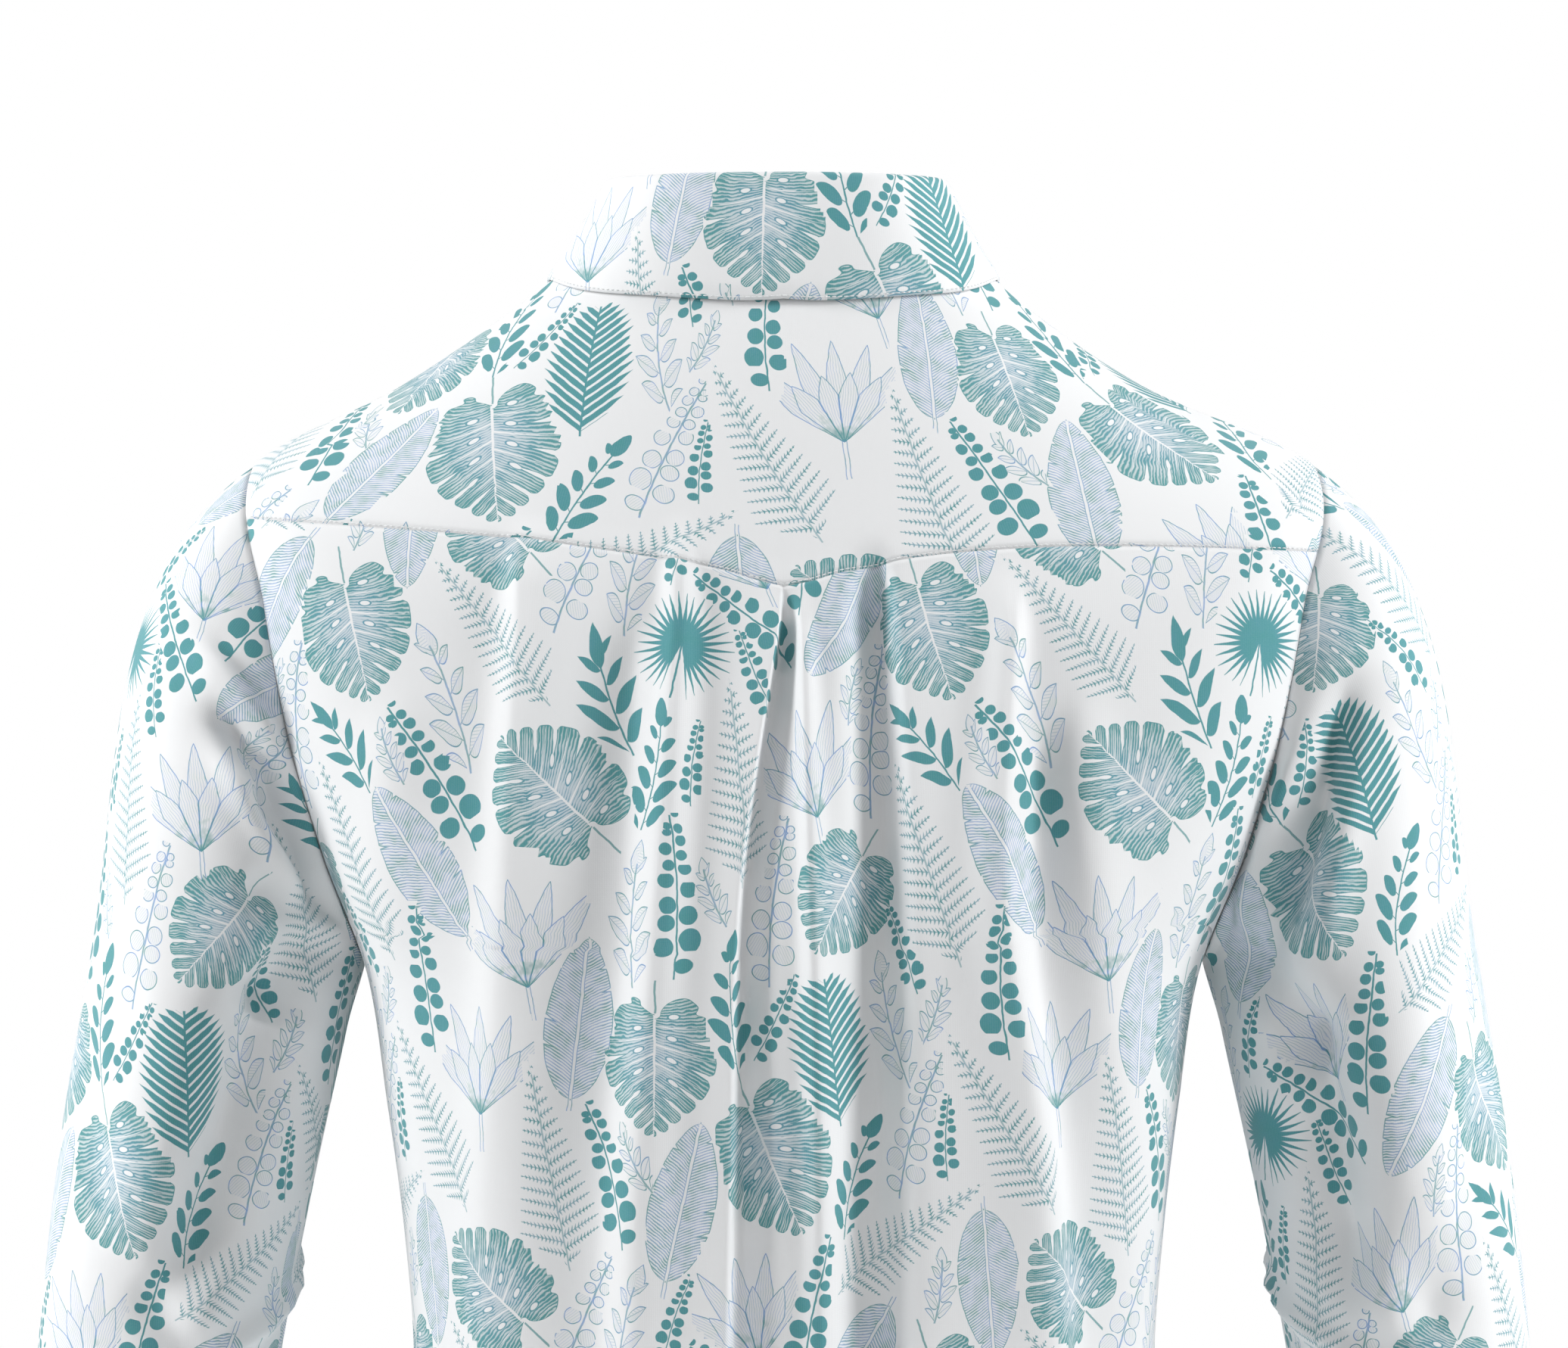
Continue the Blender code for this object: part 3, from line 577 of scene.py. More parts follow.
def drawn_sprig(x, y, grain):
    """A sprig of pointed leaves in outline, each with its vein and a little hatching."""
    leaf, top, twig, across, along = leaves_on_stalk(x - 0.003 * y * y, y, 13.0, 1.0, 15, 3.6, 65, 0.9, 1.5)
    shape = least(leaf, top)
    hatch = line(part_of((along + 1.6 * away(across)) / 1.5) - 0.5, 0.22) * within(shape + 0.2)
    return most(line(shape, 0.40), hatch * 0.45, line(across, 0.3) * within(leaf) * 0.8,
                within(shape) * 0.05, within(twig) * 0.75), held(1.6 * grain - 0.3)


def small_twig(x, y, grain):
    """A small twig of pointed leaves in outline, for the gaps between the larger motifs."""
    leaf, top, twig, across, _ = leaves_on_stalk(x - 0.006 * y * y, y, 6.8, 1.0, 9.5, 2.1, 34, 0.8, 0.7)
    shape = least(leaf, top)
    return most(line(shape, 0.36), line(across, 0.26) * within(leaf) * 0.7, within(shape) * 0.06,
                within(twig) * 0.75), held(1.6 * grain - 0.2)


def small_round_leaves(x, y, grain):
    """A short twig of round leaves, printed solid."""
    disc, twig, _ = discs_on_twig(1.75 * x - 0.006 * y * y, 1.75 * y)
    return within(least(disc, twig) / 1.75), 1 - 0.1 * grain


def petal_ring(x, y, count, spread, length, width, turned):
    """Distance to a fan of petals round a point, and the place across and along the nearest one."""
    turn = work("ARCTAN2", x, y) / spread * count + turned
    number = work("FLOOR", turn)
    reach = far(x, y)
    sector = spread / count
    across = work("SINE", (part_of(turn) - 0.5) * sector) * reach
    border = (0.5 - away(part_of(turn) - 0.5)) * reach * sector
    longest = length * (0.78 + 0.26 * chance(number + 5)) * (1 - 0.12 * away(number + 0.5 - turned) / count)
    petal = away(across) - width * work("POWER", arch(reach / longest, 0.85), 0.8)
    petal = most(petal, reach - longest, 0.15 - border, 9 * (away(number + 0.5 - turned) - count / 2 + 0.25))
    return petal, across, reach / longest


def spray(x, y, grain):
    """A spray of long pointed petals on a stalk: outlines, fine lines along each petal and darker feet."""
    low = y + 18
    front, f_across, f_share = petal_ring(x, low, 4, 1.7, 37, 5.6, 0.0)
    behind, b_across, b_share = petal_ring(x, low, 6, 2.3, 54, 5.0, 0.5)
    cover = within(front)
    across = b_across + (f_across - b_across) * cover
    share = b_share + (f_share - b_share) * cover
    shape = least(front, behind)
    strokes = line((part_of(across / 1.15 + 0.3 * grain) - 0.5) * 1.15, 0.22) * within(shape)
    feet = within(shape) * held(0.85 - 2.6 * share + 1.3 * (grain - 0.5))
    stalk = most(away(x) - 0.9, away(low + 9) - 10)
    drawn = most(line(front, 0.42), line(behind, 0.40) * (1 - cover))
    return (most(drawn, strokes * 0.55, within(shape) * 0.04, feet * 0.9, line(stalk, 0.36) * 0.9),
            held(1.5 * grain - 0.45 + 1.5 * feet))


def fan_palm(x, y, grain):
    """A fan palm leaf printed solid: narrow blades all round, joined in the middle, open at the stem."""
    turn = work("ARCTAN2", x, y) / (2 * math.pi) * 32
    number = work("FLOOR", turn)
    reach = far(x, y)
    across = away(part_of(turn) - 0.5) * (2 * math.pi / 32) * reach
    length = 21 + 2.5 * chance(number)
    blade = most(across - 1.6 * held(1.02 - reach / length) - 0.1, reach - length)
    shape = least(blade, reach - 9)
    open_foot = most(away(x) - 0.30 * (-y), y + 1)
    stem = most(away(x) - 0.45, away(y + 12) - 12)
    return solid_print(most(shape, -open_foot), stem, grain)


def feather_palm(x, y, grain):
    """A feather palm leaf printed solid: narrow slanting blades along both sides of a midrib."""
    up, out = y + 30, away(x)
    root = up - 0.75 * out
    row = root / 4.5 + 0.5 * side_of(x)
    across = away(part_of(row) - 0.5) * 3.6
    length = 27 * work("POWER", arch(0.12 + 0.86 * root / 58, 0.75), 0.6)
    along = out * 1.25
    blade = most(across - 1.25 * held(3.2 * (1 - along / length)), along - length, away(root - 28) - 29)
    twig = most(out - 0.5, away(up - 28) - 31)
    return solid_print(blade, twig, grain)


# Each kind: how it is drawn, and the discs (height, radius) that it needs for itself in the layout.
KINDS = {
    "M": (split_leaf, ((-13, 24), (4, 27), (21, 14))),
    "B": (banana_leaf, ((-30, 5), (-16, 13), (0, 15), (16, 15), (30, 10))),
    "F": (fern, ((-34, 16), (-18, 19), (0, 17), (16, 13), (30, 9), (42, 5))),
    "E": (solid_round_leaves, ((-26, 12), (-12, 11), (2, 9), (15, 7), (26, 6), (35, 4))),
    "O": (drawn_round_leaves, ((-26, 12), (-12, 11), (2, 9), (15, 7), (26, 6), (35, 4))),
    "S": (solid_sprig, ((-22, 8), (-10, 12), (4, 12), (17, 10), (26, 5))),
    "V": (pointed_sprig, ((-18, 10), (-6, 15), (8, 15), (20, 8))),
    "D": (drawn_sprig, ((-24, 9), (-10, 14), (6, 14), (20, 11), (31, 5))),
    "P": (spray, ((-22, 5), (-4, 16), (10, 24), (23, 22))),
    "A": (fan_palm, ((0, 23),)),
    "T": (small_twig, ((-12, 5), (-4, 7), (4, 6), (12, 4))),
    "R": (small_round_leaves, ((-15, 7), (-7, 6), (1, 5), (9, 4), (16, 3))),
    "L": (feather_palm, ((-22, 14), (-4, 22), (14, 18), (26, 9))),
}

TEAL = (0.060, 0.300, 0.315, 1)
PALE_BLUE = (0.170, 0.335, 0.640, 1)
CLOTH_WHITE = (0.86, 0.87, 0.88, 1)
RIB_PITCH = 0.9           # of the knit's ribs and of the loops along them, in millimetres
LOOP_PITCH = 0.75


def new_finish(name):
    """A new material, its node tree and its Principled shader."""
    made = bpy.data.materials.new(name)
    made.use_nodes = True
    return made, made.node_tree, made.node_tree.nodes["Principled BSDF"]


def coordinates(source):
    """The first two coordinates of a vector output, as fields."""
    places = add_node(source.id_data, "SeparateXYZ", {"Vector": source}).outputs
    return Field(places["X"]), Field(places["Y"])


def colour_between(tree, share, one, other):
    """A colour that runs from one to the other as share runs from 0 to 1."""
    return add_node(tree, "Mix", {0: share, 6: one, 7: other}, data_type="RGBA").outputs[2]


def knit_group():
    """The knit itself: its white ground and whatever ink lies on it, its faint ribs and its softness.

    Ink is how much of the ground is covered, and Hue runs from pale blue (0) to teal (1). The ribs of the
    knit run down the cloth, on the cloth's flat coordinates in millimetres.
    """
    tree = bpy.data.node_groups.new("printed knit", "ShaderNodeTree")
    for name in ("Ink", "Hue"):
        tree.interface.new_socket(name, in_out="INPUT", socket_type="NodeSocketFloat")
    for name, kind in (("Colour", "Color"), ("Roughness", "Float"), ("Normal", "Vector")):
        tree.interface.new_socket(name, in_out="OUTPUT", socket_type=f"NodeSocket{kind}")
    take, give = tree.nodes.new("NodeGroupInput"), tree.nodes.new("NodeGroupOutput")
    flat = add_node(tree, "Attribute", attribute_name="flat").outputs["Vector"]
    x, y = coordinates(flat)
    fluff = Field(add_node(tree, "TexNoise", {"Vector": flat, "Scale": 1.6, "Detail": 3}).outputs["Fac"])
    rib = away(part_of(x / RIB_PITCH) - 0.5)
    loop = away(part_of(y / LOOP_PITCH + rib) - 0.5)
    height = rib + loop * 0.5 + fluff * 0.8
    ink = Field(take.outputs["Ink"]) * (0.90 + 0.08 * rib + 0.08 * fluff)
    tint = colour_between(tree, take.outputs["Hue"], PALE_BLUE, TEAL)
    bump = add_node(tree, "Bump", {"Strength": 0.35, "Distance": 0.00012, "Height": height})
    feed(give, {"Colour": colour_between(tree, ink, CLOTH_WHITE, tint), "Roughness": 0.80 + 0.12 * fluff,
                "Normal": bump.outputs["Normal"]})
    return tree


KNIT_GROUP = knit_group()


def knit_material(name, draw=None):
    """The shirt's knit, plain or with one kind of motif drawn on it by that motif's coordinates."""
    made, tree, shader = new_finish(name)
    knit = add_node(tree, "Group", node_tree=KNIT_GROUP)
    feed(shader, {"Sheen Weight": 0.25, "Sheen Roughness": 0.5, "Specular IOR Level": 0.25,
                  "Base Color": knit.outputs["Colour"], "Roughness": knit.outputs["Roughness"],
                  "Normal": knit.outputs["Normal"]})
    if draw is None:
        feed(knit, {"Ink": 0})
        return made
    printed = add_node(tree, "Attribute", attribute_name="print").outputs["Vector"]
    wobble = add_node(tree, "TexNoise", {"Vector": printed, "Scale": 0.17, "Detail": 2}).outputs["Fac"]
    grain = held((Field(wobble) - 0.5) * 2.2 + 0.5)
    x, y = coordinates(printed)
    ink, hue = draw(x + 0.5 * (grain - 0.5), y, grain)
    feed(knit, {"Ink": ink, "Hue": hue})
    return made


PLAIN_KNIT = knit_material("knit_plain")
PRINTS = {kind: knit_material(f"knit_print_{draw.__name__}", draw) for kind, (draw, _) in KINDS.items()}

# The repeat, charted: a letter for each motif, roughly where it grows, nine to a row. The draws
# that tilt, size and place them are seeded, and then the motifs push each other apart until they fit.
REPEAT = np.array([268.0, 312.0])    # width and height, in millimetres
CHART = (
    "MBTFEPRDO",
    "FROSMBTEF",
    "PETDLRSMB",
    "BFRMOTEDP",
    "ETVOPFRSM",
    "DMTBERAVF",
)
CHART_SEED = 13
CHART_SCATTER = 8.0       # most shift either way, in millimetres
CHART_TILT = 38.0         # most tilt either way, in degrees
CHART_SIZES = (0.84, 1.02)    # least and most, as shares of the sizes they are drawn at
CHART_UPSIDE_DOWN = "MB"  # kinds that may also hang
MOTIF_GAP = 1.0           # millimetres kept free between motifs, where there is room
FIT_ROUNDS = 600
FIT_PUSH = 0.12           # share of an overlap by which a motif moves in one round
FIT_TURN = 0.00012        # radians that it turns for each millimetre of push, 1 mm from its middle
FIT_MOST_TURN = 0.02
GRAIN_APART = 3.7         # between motifs, along the third coordinate of the ink's grain


def wrap_round(run):
    """The same run by the shortest way, across the edges of the repeat where that is shorter."""
    return run - REPEAT * np.round(run / REPEAT)


def disc_arms(tilt, height):
    """The runs from the middles of motifs to their discs, along their tilted stems."""
    return np.stack([-np.sin(tilt), np.cos(tilt)], axis=-1) * height[:, None]


def lay_out_repeat():
    """Place, tilt, size and mirroring of each motif of the repeat, as arrays, and its discs.

    Motifs are chains of discs. In each round, discs of two motifs that overlap push their motifs apart
    along the line between them, and turn them a little about their middles. The repeat wraps round.
    """
    draws = np.random.default_rng(CHART_SEED)
    kinds, places = [], []
    for r, row in enumerate(CHART):
        for c, kind in enumerate(row):
            kinds.append(kind)
            across, up = (c + 0.5 * (r % 2) + 0.5) / len(row), (r + 0.5) / len(CHART)
            places.append((across * REPEAT[0], up * REPEAT[1]))
    count = len(kinds)
    place = np.array(places) + draws.uniform(-CHART_SCATTER, CHART_SCATTER, (count, 2))
    tilt = np.radians(draws.uniform(-CHART_TILT, CHART_TILT, count))
    hang = np.array([kind in CHART_UPSIDE_DOWN for kind in kinds]) & (draws.random(count) < 0.5)
    tilt = tilt + np.where(hang, math.pi, 0)
    scale = draws.uniform(*CHART_SIZES, count)
    mirror = np.where(draws.random(count) < 0.5, -1.0, 1.0)
    owner = np.concatenate([[n] * len(KINDS[kind][1]) for n, kind in enumerate(kinds)])
    chain = np.concatenate([KINDS[kind][1] for kind in kinds])
    height, radius = chain[:, 0] * scale[owner], chain[:, 1] * scale[owner]
    apart = owner[:, None] != owner[None, :]
    for _ in range(FIT_ROUNDS):
        arm = disc_arms(tilt[owner], height)
        discs = place[owner] + arm
        run = wrap_round(discs[:, None] - discs[None, :])
        gap = np.linalg.norm(run, axis=-1)
        over = np.where(apart, np.maximum(radius[:, None] + radius[None, :] + MOTIF_GAP - gap, 0), 0)
        push = (over[..., None] * run / np.maximum(gap, 0.01)[..., None]).sum(axis=1)
        turning = arm[:, 0] * push[:, 1] - arm[:, 1] * push[:, 0]
        for axis in (0, 1):
            place[:, axis] += FIT_PUSH * np.bincount(owner, push[:, axis], count)
        tilt += np.clip(FIT_TURN * np.bincount(owner, turning, count), -FIT_MOST_TURN, FIT_MOST_TURN)
    return {"kinds": kinds, "place": place % REPEAT, "tilt": tilt, "scale": scale, "mirror": mirror,
            "owner": owner, "height": height, "radius": radius}


LAYOUT = lay_out_repeat()


def print_cloth(piece, faces, flat, offset):
    """Give each face of a piece the motif that grows nearest, as its material and its own coordinates.

    flat holds each point's place on the flat cloth in millimetres. The nearest motif is the one with the
    nearest disc edge, looking also across the edges of the repeat.
    """
    at = flat + np.array(offset)
    middle = at[faces].mean(axis=1)
    owner = LAYOUT["owner"]
    discs = LAYOUT["place"][owner] + disc_arms(LAYOUT["tilt"][owner], LAYOUT["height"])
    nearest = np.full(len(faces), np.inf)
    motif = np.zeros(len(faces), int)
    for disc, radius, number in zip(discs, LAYOUT["radius"], owner):
        run = wrap_round(middle - disc)
        gap = np.hypot(run[:, 0], run[:, 1]) - radius
        closer = gap < nearest
        nearest[closer] = gap[closer]
        motif[closer] = number
    place, tilt, mirror, scale = (LAYOUT[name][motif] for name in ("place", "tilt", "mirror", "scale"))
    shift = REPEAT * np.round((middle - place) / REPEAT)
    corner = at[faces] - (place + shift)[:, None]
    cosine, sine = np.cos(tilt)[:, None], np.sin(tilt)[:, None]
    across = (corner[..., 0] * cosine + corner[..., 1] * sine) * mirror[:, None]
    along = corner[..., 1] * cosine - corner[..., 0] * sine
    own = np.stack([across, along, np.zeros(across.shape)], axis=-1) / scale[:, None, None]
    own[..., 2] = motif[:, None] * GRAIN_APART
    layer = piece.data.attributes.new("print", "FLOAT_VECTOR", "CORNER")
    layer.data.foreach_set("vector", own.astype(np.float32).ravel())
    order = {kind: number for number, kind in enumerate(PRINTS)}
    finish = np.array([order[kind] for kind in LAYOUT["kinds"]], np.int32)[motif]
    piece.data.polygons.foreach_set("material_index", finish)


def cloth_piece(name, points, node, offset=None, closed=False):
    """A piece of the shirt's knit on a lattice: printed outside and plain inside.

    offset is the place on the printed cloth, in millimetres, that the piece's middle is cut from, or None
    for a piece whose plain side shows.
    """
    rows, columns = points.shape[:2]
    finishes = [PLAIN_KNIT] if offset is None else [*PRINTS.values(), PLAIN_KNIT]
    piece = mesh_piece(name, points, lattice_faces(rows, columns, closed), finishes)
    around = np.concatenate([points, points[:, :1]], axis=1) if closed else points
    flat = lay_flat(around)
    cut = 1000 * flat.reshape(-1, 2)
    faces = lattice_faces(*flat.shape[:2])
    places = piece.data.attributes.new("flat", "FLOAT_VECTOR", "CORNER")
    places.data.foreach_set("vector", np.pad(cut[faces], ((0, 0), (0, 0), (0, 1))).astype(np.float32).ravel())
    if offset is not None:
        print_cloth(piece, faces, cut, offset)
    wall = piece.modifiers.new("thickness", "SOLIDIFY")
    wall.thickness = KNIT_THICK
    wall.offset = -1
    wall.use_even_offset = False
    wall.material_offset = len(finishes) - 1
    width, length = np.ptp(flat.reshape(-1, 2), axis=0)
    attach(piece, "root")
    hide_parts(node)
    area = min(lattice_area(around), width * length)
    return piece


def lattice_normals(points):
    """Outward unit normals of a lattice, from the differences along its two directions."""
    return unit(np.cross(np.gradient(points, axis=1), np.gradient(points, axis=0)))


def edge_relief(points, edge, heights):
    """The lattice with the lines next to one of its edges moved out (below 0, in), the edge's own first."""
    normals = lattice_normals(points)
    moved = points.copy()
    for number, height in enumerate(heights):
        line_index = {"top": (number,), "bottom": (-1 - number,), "left": (slice(None), -1 - number),
                      "right": (slice(None), number)}[edge]
        moved[line_index] += height * normals[line_index]
    return moved


SEAM_GROOVE = (-0.0001,)    # a plain seam draws both its edges in
HEM_RELIEF = (0.0002, 0.0006, 0.0006, 0.0006, 0.0006, 0.0004, -0.0003)    # a turned-up edge, to its stitching


def sewn_and_hemmed(points, seams):
    """A lattice with its seams drawn in and its bottom edge turned up."""
    for edge in seams:
        points = edge_relief(points, edge, SEAM_GROOVE)
    return edge_relief(points, "bottom", HEM_RELIEF)


back_lattice = sewn_and_hemmed(back_points(), ("left", "right"))
cloth_piece("back_panel", back_lattice, "back", (150, 310))

# Painted shade for the grooves of the thread's twist, and painted light for its ridges.
THREAD_PAINTED_SHADE = (0.74, 0.76, 0.77, 1)
THREAD_PAINTED_LIGHT = (0.90, 0.91, 0.91, 1)
THREAD_RADIUS = 0.00026
THREAD_RISE = 0.00035     # of a stitch's middle over its ends
THREAD_SUNK = 0.4         # how deep it is drawn into the cloth, as a share of its radius
THREAD_RINGS = 5
THREAD_SIDES = 6
THREAD_CAPS = ((3, 2, 1, 0), (5, 4, 3, 0), (24, 25, 26, 27), (24, 27, 28, 29))    # corners of both ends
STITCH_PITCH = 0.0025
STITCH_SHARE = 0.76       # how much of the pitch shows on this side of the cloth
HEM_DEPTH = 0.020


def thread_material():
    """White sewing thread: matt, with the twist of its plies as fine slanting ridges, and painted shade in
    the grooves between them and painted light on their tops.
    """
    made, tree, shader = new_finish("sewing_thread")
    where = add_node(tree, "TexCoord").outputs["Object"]
    wave = add_node(tree, "TexWave", {"Vector": where, "Scale": 900}, bands_direction="DIAGONAL")
    ply_relief_and_shade = wave.outputs["Fac"]
    bump = add_node(tree, "Bump", {"Distance": 0.00004, "Height": ply_relief_and_shade})
    # The colour follows the twist's ridges: painted shade in its grooves, painted light on its tops.
    feed(shader, {"Base Color": colour_between(tree, ply_relief_and_shade, THREAD_PAINTED_SHADE, THREAD_PAINTED_LIGHT), "Roughness": 0.6,
                  "Sheen Weight": 0.3, "Normal": bump.outputs["Normal"]})
    return made


THREAD = thread_material()


def thread_piece(name, starts, ends, normals, radius=THREAD_RADIUS, rise=THREAD_RISE):
    """Short lengths of thread, one from each start to its end: six-sided, arched up, thinner at both ends."""
    share = np.linspace(0, 1, THREAD_RINGS)[None, :, None, None]
    turn = np.linspace(0, 2 * math.pi, THREAD_SIDES + 1)[:-1][None, None, :, None]
    along = unit(ends - starts)
    normals = unit(normals - (normals * along).sum(axis=-1, keepdims=True) * along)[:, None, None]
    side = np.cross(normals, along[:, None, None])
    arch_height = np.sin(math.pi * share)
    middle = (starts[:, None, None] + (ends - starts)[:, None, None] * share
              + normals * (rise * arch_height - THREAD_SUNK * radius))
    points = middle + radius * (0.5 + 0.5 * arch_height) * (np.cos(turn) * side + np.sin(turn) * normals)
    quads = np.concatenate([lattice_faces(THREAD_RINGS, THREAD_SIDES, closed=True), THREAD_CAPS])
    faces = quads + THREAD_RINGS * THREAD_SIDES * np.arange(len(starts))[:, None, None]
    piece = mesh_piece(name, points, faces.reshape(-1, 4), [THREAD])
    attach(piece, "root")


def stitch_places(path, normals):
    """Starts, ends and normals of a row of stitches along a path."""
    length = np.concatenate([[0], np.cumsum(np.linalg.norm(np.diff(path, axis=0), axis=-1))])
    start = np.arange(0, length[-1] - STITCH_PITCH, STITCH_PITCH)

    def at(values, place):
        return np.stack([np.interp(place, length, values[:, axis]) for axis in range(3)], axis=-1)

    end = start + STITCH_SHARE * STITCH_PITCH
    return at(path, start), at(path, end), at(normals, (start + end) / 2)


def line_in_from(points, edge, inset):
    """A line on a lattice at a distance in from one of its edges, and the normals along it."""
    if edge in ("left", "right"):
        points, normals = points.swapaxes(0, 1), lattice_normals(points).swapaxes(0, 1)
    else:
        normals = lattice_normals(points)
    if edge in ("left", "bottom"):
        points, normals = points[::-1], normals[::-1]
    reach = np.cumsum(np.linalg.norm(np.diff(points, axis=0), axis=-1), axis=0)
    row = (reach < inset).sum(axis=0)
    column = np.arange(points.shape[1])
    before = np.where(row > 0, reach[np.maximum(row - 1, 0), column], 0)
    share = ((inset - before) / (reach[row, column] - before))[:, None]
    path = points[row, column] * (1 - share) + points[row + 1, column] * share
    return path, normals[row, column]


def stitch_row(name, points, edge, inset):
    """A row of stitches on a lattice, at a distance in from one of its edges."""
    thread_piece(name, *stitch_places(*line_in_from(points, edge, inset)))


stitch_row("back_hem_stitches", back_lattice, "bottom", HEM_DEPTH)

# ---- The back yoke -------------------------------------------------------------------------------------
# A shaped piece across the shoulder blades, down to a shallow V at the centre back. It goes over both
# shoulders to a seam a little in front of them, and its lower edge is top-stitched onto the back.

SHOULDER_SEAM = math.radians(96)    # by angle from the centre back
SHOULDER_CORNER = -math.asin((SHOULDER_SEAM - math.pi / 2) / ARMHOLE_FRONT_CUT)    # an armhole turn
YOKE_ROWS = 44
YOKE_OVER_STEPS = 26


def over_turns(side):
    """The armhole's turns over the shoulder, from the shoulder seam back to the yoke seam."""
    return np.linspace(SHOULDER_CORNER, yoke_corner(side), YOKE_OVER_STEPS + 1)


def yoke_points():
    """The yoke: columns run out from the neckline to the yoke seam, and over the shoulder to the armhole."""
    halves = []
    for side in (-1, 1):
        over = over_turns(side)[::-1]
        inner = np.linspace(0, armhole(over[0])[0], BACK_COLUMNS // 2 + 1)
        angle = side * np.concatenate([inner, armhole(over)[0][1:]])
        outer = np.concatenate([yoke_seam_section(side * inner), armhole(over)[1][1:]])
        halves.append((angle, outer))
    (right_angle, right_outer), (left_angle, left_outer) = halves
    angle = np.concatenate([right_angle[:0:-1], left_angle])
    outer = np.concatenate([right_outer[:0:-1], left_outer])
    return body(angle[None, :], outer * np.linspace(0, 1, YOKE_ROWS + 1)[:, None])


YOKE_RELIEF = (0.0, 0.0002, 0.0002)    # the turned-under edge lies proud of the back
YOKE_STITCH_INSET = 0.0010

yoke_lattice = edge_relief(yoke_points(), "bottom", YOKE_RELIEF)
cloth_piece("yoke_panel", yoke_lattice, "back_yoke", (40, 170))
seam_columns = slice(YOKE_OVER_STEPS, -YOKE_OVER_STEPS)
stitch_row("yoke_seam_stitches", yoke_lattice[:, seam_columns], "bottom", YOKE_STITCH_INSET)
for edge in ("left", "right"):
    stitch_row(f"yoke_shoulder_stitches_{edge}", yoke_lattice, edge, YOKE_STITCH_INSET)

# ---- The front -----------------------------------------------------------------------------------------
# One piece of the same knit, slit at the neck for the placket. It is sewn to the yoke in front of the
# shoulders and to the back at the side seams, and its lower edge is turned up and stitched like the back's.

FRONT_ARMHOLE_STEPS = 56
FRONT_SHOULDER_STEPS = 20
FRONT_SIDE_STEPS = 100
FRONT_COLUMNS = 140
PLACKET_WIDTH = 0.030
PLACKET_TOP = BODY["z_front"][0] - 0.0010    # just below the neckline
PLACKET_BOTTOM = -0.215


def front_points():
    """The front: rows run from the neckline and shoulder seams down to the hem."""
    turns = 2 * math.pi - turns_down(-SHOULDER_CORNER, FRONT_ARMHOLE_STEPS)
    angle, section = armhole(turns)
    shoulder = section[0] * np.linspace(0, 1, FRONT_SHOULDER_STEPS + 1)[:-1]
    side_sections = np.linspace(ARMHOLE_LOW, HEM_SECTION, FRONT_SIDE_STEPS + 1)[1:]
    section = np.concatenate([shoulder, section, side_sections])
    angle = np.concatenate([np.full(FRONT_SHOULDER_STEPS, SHOULDER_SEAM), angle,
                            np.full(FRONT_SIDE_STEPS, math.pi / 2)])[:, None]
    across = np.linspace(0, 1, FRONT_COLUMNS + 1)
    return body(angle + (2 * math.pi - 2 * angle) * across, section[:, None])


front_lattice = sewn_and_hemmed(front_points(), ("left", "right"))
front = cloth_piece("front_panel", front_lattice, "front", (90, 20))
stitch_row("front_hem_stitches", front_lattice, "bottom", HEM_DEPTH)


def cut_slit(piece):
    """Cut the cloth along the slit's sides and foot, and take out what lies between."""
    bm = bmesh.new()
    bm.from_mesh(piece.data)
    half = PLACKET_WIDTH / 2
    for place, normal in (((half, 0, 0), (1, 0, 0)), ((-half, 0, 0), (1, 0, 0)),
                          ((0, 0, PLACKET_BOTTOM), (0, 0, 1))):
        everything = bm.verts[:] + bm.edges[:] + bm.faces[:]
        bmesh.ops.bisect_plane(bm, geom=everything, plane_co=place, plane_no=normal)
    between = []
    for face in bm.faces:
        middle = face.calc_center_median()
        if abs(middle.x) < half and middle.z > PLACKET_BOTTOM:
            between.append(face)
    bmesh.ops.delete(bm, geom=between, context="FACES")
    bm.to_mesh(piece.data)
    bm.free()


cut_slit(front)

# ---- The sleeves ---------------------------------------------------------------------------------------
# Each sleeve is one piece of the knit with a seam under the arm, eased into the armhole, and hangs a little
# bent. The cloth drags in folds from the back of the armhole down round the upper arm, and creases at the
# elbow. The cuff is a plain turned-up hem.

SLEEVE_COLUMNS = ("x", "y", "z", "half_width", "half_depth", "tilt")
SLEEVE_ROWS = (
    (0.2325, -0.0020, -0.2850, 0.0545, 0.0640, 15.0),     # upper arm
    (0.2457, -0.0050, -0.3550, 0.0525, 0.0570, 10.0),
    (0.2590, -0.0130, -0.4450, 0.0490, 0.0510, 9.0),      # elbow
    (0.2680, -0.0270, -0.5400, 0.0455, 0.0465, 7.0),
    (0.2750, -0.0450, -0.6350, 0.0430, 0.0420, 6.0),      # wrist
)
SLEEVE = dict(zip(SLEEVE_COLUMNS, np.array(SLEEVE_ROWS).T))
SLEEVE_HEAD_LEAN = (0.82, 0.24)     # outward part of the sleeve's first direction, top and underarm
SLEEVE_HEAD_PUFF = 0.45             # and its backward part, half-way down
SLEEVE_HEAD_REACH = 0.36            # how far that direction holds, as a share of the sleeve head
